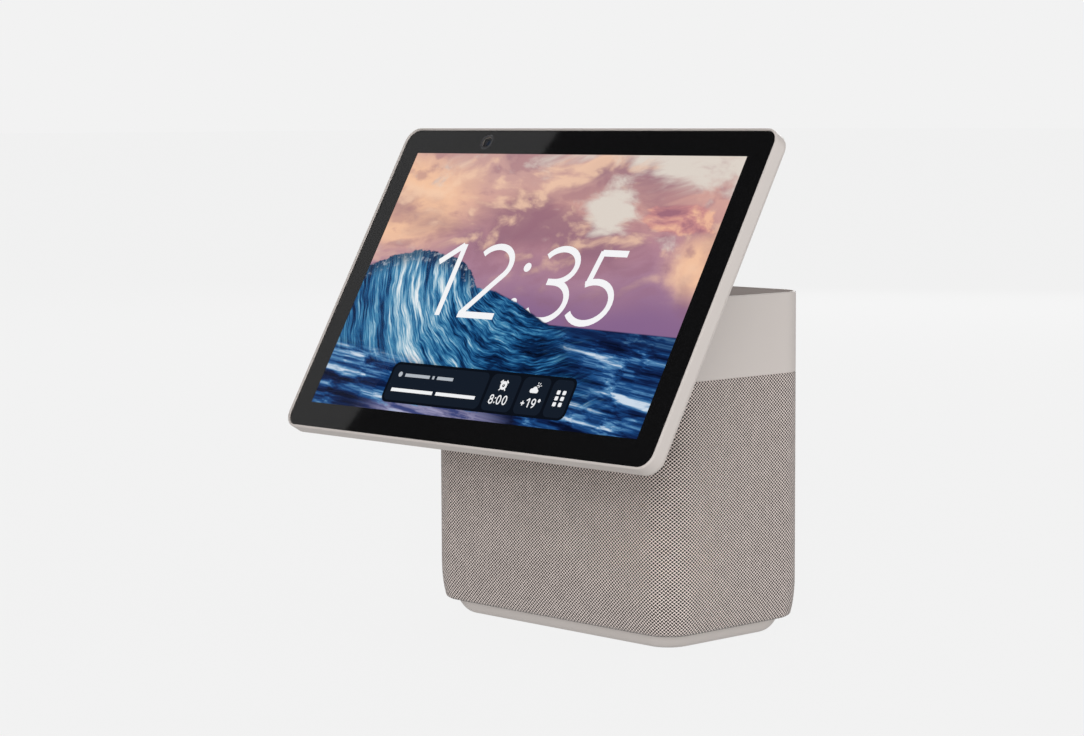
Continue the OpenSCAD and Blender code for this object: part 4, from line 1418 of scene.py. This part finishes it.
def finish_nodes(glow):
    """Gives every CAD node that is still shown the finish of its slot."""
    makers = node_finishes(glow)
    made = {}
    for row in frame["record"]["subparts"]:
        node, slot = frame["nodes"][row["node"]], row["material_slot"]
        if node.hide_render:
            continue
        if slot not in made:
            made[slot] = makers[slot]("cad_" + slot)
        node.data.materials.clear()
        node.data.materials.append(made[slot])


# ---- Stage ----


def camera_turn(setup):
    """The camera's directions: right, up and back."""
    a, e = setup.azimuth, setup.elevation
    back = Vector((math.sin(a) * math.cos(e), -math.cos(a) * math.cos(e), math.sin(e)))
    level = Vector((math.cos(a), math.sin(a), 0))
    upright = back.cross(level)
    right = level * math.cos(setup.roll) + upright * math.sin(setup.roll)
    return right, back.cross(right), back


def add_camera(setup):
    """The camera, turned so that it looks at its target."""
    right, upright, back = camera_turn(setup)
    camera = bpy.data.objects.new("camera", bpy.data.cameras.new("camera"))
    bpy.context.scene.collection.objects.link(camera)
    turn = Matrix((right, upright, back)).transposed().to_4x4()
    camera.matrix_world = Matrix.Translation(Vector(setup.target) + back * setup.distance) @ turn
    camera.data.lens = setup.lens
    camera.data.sensor_width = 36
    camera.data.clip_start = 0.05
    camera.data.clip_end = 60
    bpy.context.scene.camera = camera


def add_softbox(name, place, turn, size, watts):
    """A rectangular area lamp that the camera doesn't see."""
    lamp = bpy.data.lights.new(name, "AREA")
    lamp.shape = "RECTANGLE"
    lamp.size, lamp.size_y = size
    lamp.energy = watts
    holder = bpy.data.objects.new(name, lamp)
    bpy.context.scene.collection.objects.link(holder)
    holder.matrix_world = Matrix.Translation(place) @ turn
    holder.visible_camera = False


def add_lamps(setup):
    """Three softboxes that face the middle of the object."""
    aim = Vector((0, 0, 0.1))
    for name, place, size, watts in (
        ("key", (1.37, -1.76, 0.66), (1.4, 1.4), setup.key),
        ("rim", (1.5, 1.0, 0.5), (1.0, 1.2), setup.rim),
        ("rear", (-1.3, 1.9, 0.8), (1.2, 1.2), setup.rear),
    ):
        turn = (aim - Vector(place)).to_track_quat("-Z", "Y").to_matrix().to_4x4()
        add_softbox(name, place, turn, size, watts)


def by_ray(finish, plain, mirrored, seen):
    """One brightness for the camera, one for mirrored rays and a plain one for soft light."""
    glossy = finish.node("ShaderNodeLightPath", output="Is Glossy Ray")
    camera = finish.node("ShaderNodeLightPath", output="Is Camera Ray")
    soft = plain + (mirrored - plain) * glossy
    return soft + (seen - soft) * camera


def add_floor(setup):
    """A pale floor that glows like the background, so that only a faint contact shadow shows."""
    size = 40.0
    corners = [(-size, -size, 0), (size, -size, 0), (size, size, 0), (-size, size, 0)]
    floor = piece_from("floor", corners, [(0, 1, 2, 3)])
    finish = Finish("floor")
    pale_share = 0.05
    level_up = 1.02
    tone = finish.mix(finish.noise(finish.where, 3, 2), grey(0.7), grey(0.72))
    pale = finish.principled(Base_Color=tone, Roughness=0.9, Specular_IOR_Level=0.0)
    light = by_ray(finish, setup.floor_fill, setup.floor_fill, setup.backdrop * level_up)
    glow = finish.node("ShaderNodeEmission", {}, {"Strength": light})
    both = finish.node("ShaderNodeMixShader", {}, {0: 1 - pale_share, 1: pale, 2: glow})
    floor.data.materials.append(finish.done(both))


def mirror_way(setup):
    """The direction in which the glass mirrors what the camera sees."""
    look = -camera_turn(setup)[2]
    return look - BACK * (2 * look.dot(BACK))


def add_world(setup):
    """Even background for the camera, a dimmer dome of light, and a black card where the glass mirrors."""
    finish = Finish("studio", bpy.data.worlds.new("studio"))
    way = finish.node("ShaderNodeTexCoord", output="Generated")
    edge, full = math.cos(math.radians(36)), math.cos(math.radians(22))
    near = finish.smooth(finish.dot(way, mirror_way(setup)), edge, full)
    mirrored = setup.dome_fill + (setup.card - setup.dome_fill) * near
    light = by_ray(finish, setup.dome_fill, mirrored, setup.backdrop)
    sky = finish.node("ShaderNodeBackground", {}, {"Color": grey(1.0), "Strength": light})
    bpy.context.scene.world = finish.done(sky, "ShaderNodeOutputWorld")


def add_glass_glow(setup):
    """A softbox placed so that the glass mirrors its edge across the display's upper left."""
    eye = Vector(setup.target) + camera_turn(setup)[2] * setup.distance
    mirrored_eye = eye - BACK * (2 * (eye - FACE).dot(BACK))
    reach = 2.4
    edge = [on_display(u * MM, v * MM, 0) for u, v in ((-18, 75), (-74, -74))]
    high, low = (mirrored_eye + (place - mirrored_eye) * reach for place in edge)
    along = (high - low).normalized()
    aim = (mirrored_eye - (high + low) / 2).normalized()
    across = aim.cross(along).normalized()
    width, height = 1.3, 1.2
    place = (high + low) / 2 - across * (width / 2)
    turn = Matrix((across, along, across.cross(along))).transposed().to_4x4()
    add_softbox("glass_glow", place, turn, (width, height), setup.glass_glow)


# ---- Operators ----


class MakeStage(bpy.types.Operator):
    """Adds the camera, the floor, the soft light and the background"""

    bl_idname = "smart_display.make_stage"
    bl_label = "Stage"

    def execute(self, context):
        setup = context.scene.display_stage
        add_camera(setup)
        add_floor(setup)
        add_world(setup)
        add_lamps(setup)
        add_glass_glow(setup)
        context.scene.view_settings.view_transform = "Standard"
        context.scene.view_settings.look = "None"
        return {"FINISHED"}


class MakeBase(bpy.types.Operator):
    """Builds the foot, the woven sleeve with its seam, the collar, the top plate and the power inlet"""

    bl_idname = "smart_display.make_base"
    bl_label = "Speaker base"

    def execute(self, context):
        sizes, finishes = context.scene.display_base, context.scene.display_finishes
        shell = moulded_plastic("shell_plastic", (*finishes.shell, 1))
        dark = moulded_plastic("dark_plastic", paint(*DARK), 0.5, 0.1, 0.00004)
        make_foot(sizes, shell)
        make_cloth(sizes, finishes)
        make_seam(sizes)
        make_collar(sizes, shell)
        make_top_plate(sizes, (*finishes.plate, 1))
        make_inlet(dark)
        return {"FINISHED"}


class MakeCasing(bpy.types.Operator):
    """Builds the display's frame, rear cover, hinge barrel, buttons and camera shutter"""

    bl_idname = "smart_display.make_casing"
    bl_label = "Display casing"

    def execute(self, context):
        sizes, finishes = context.scene.display_sizes, context.scene.display_finishes
        shell = moulded_plastic("casing_plastic", (*finishes.shell, 1), 0.42)
        dark = moulded_plastic("shutter_plastic", paint(42, 42, 44), 0.45, 0.08, 0.00003)
        make_casing(sizes, shell)
        make_rear(sizes, shell)
        make_barrel(shell)
        make_buttons(sizes, shell)
        make_shutter(sizes, dark)
        return {"FINISHED"}


class MakeScreen(bpy.types.Operator):
    """Builds the glass, its black border, the camera window and the marks on the lit picture"""

    bl_idname = "smart_display.make_screen"
    bl_label = "Screen"

    def execute(self, context):
        sizes, glow = context.scene.display_sizes, context.scene.display_finishes.screen_glow
        make_glass(sizes)
        make_camera()
        make_clock(glow)
        make_tiles(glow)
        make_widgets(glow)
        return {"FINISHED"}


class FinishInside(bpy.types.Operator):
    """Gives the inner parts that stay from the frame their finishes"""

    bl_idname = "smart_display.finish_inside"
    bl_label = "Inner parts"

    def execute(self, context):
        finish_nodes(context.scene.display_finishes.screen_glow)
        return {"FINISHED"}


OPERATORS = (MakeStage, MakeBase, MakeCasing, MakeScreen, FinishInside)


class LooksPanel(bpy.types.Panel):
    """Lists the steps that build the smart display"""

    bl_idname = "VIEW3D_PT_smart_display"
    bl_label = "Smart Display"
    bl_space_type = "VIEW_3D"
    bl_region_type = "UI"
    bl_category = "Smart Display"

    def draw(self, context):
        for step in OPERATORS:
            self.layout.operator(step.bl_idname)


GROUPS = {
    "display_base": BaseSizes,
    "display_sizes": DisplaySizes,
    "display_finishes": Finishes,
    "display_stage": StageSetup,
}


def register():
    """Adds the classes, and the properties to the scene."""
    for group in GROUPS.values():
        bpy.utils.register_class(group)
    for name, group in GROUPS.items():
        setattr(bpy.types.Scene, name, PointerProperty(type=group))
    for step in (*OPERATORS, LooksPanel):
        bpy.utils.register_class(step)


def unregister():
    """Takes away what register added."""
    for step in (LooksPanel, *reversed(OPERATORS)):
        bpy.utils.unregister_class(step)
    for name, group in GROUPS.items():
        delattr(bpy.types.Scene, name)
        bpy.utils.unregister_class(group)


def main():
    """Builds the whole model."""
    register()
    bpy.ops.smart_display.make_stage()
    bpy.ops.smart_display.make_base()
    bpy.ops.smart_display.make_casing()
    bpy.ops.smart_display.make_screen()
    bpy.ops.smart_display.finish_inside()


if __name__ == "__main__":
    main()
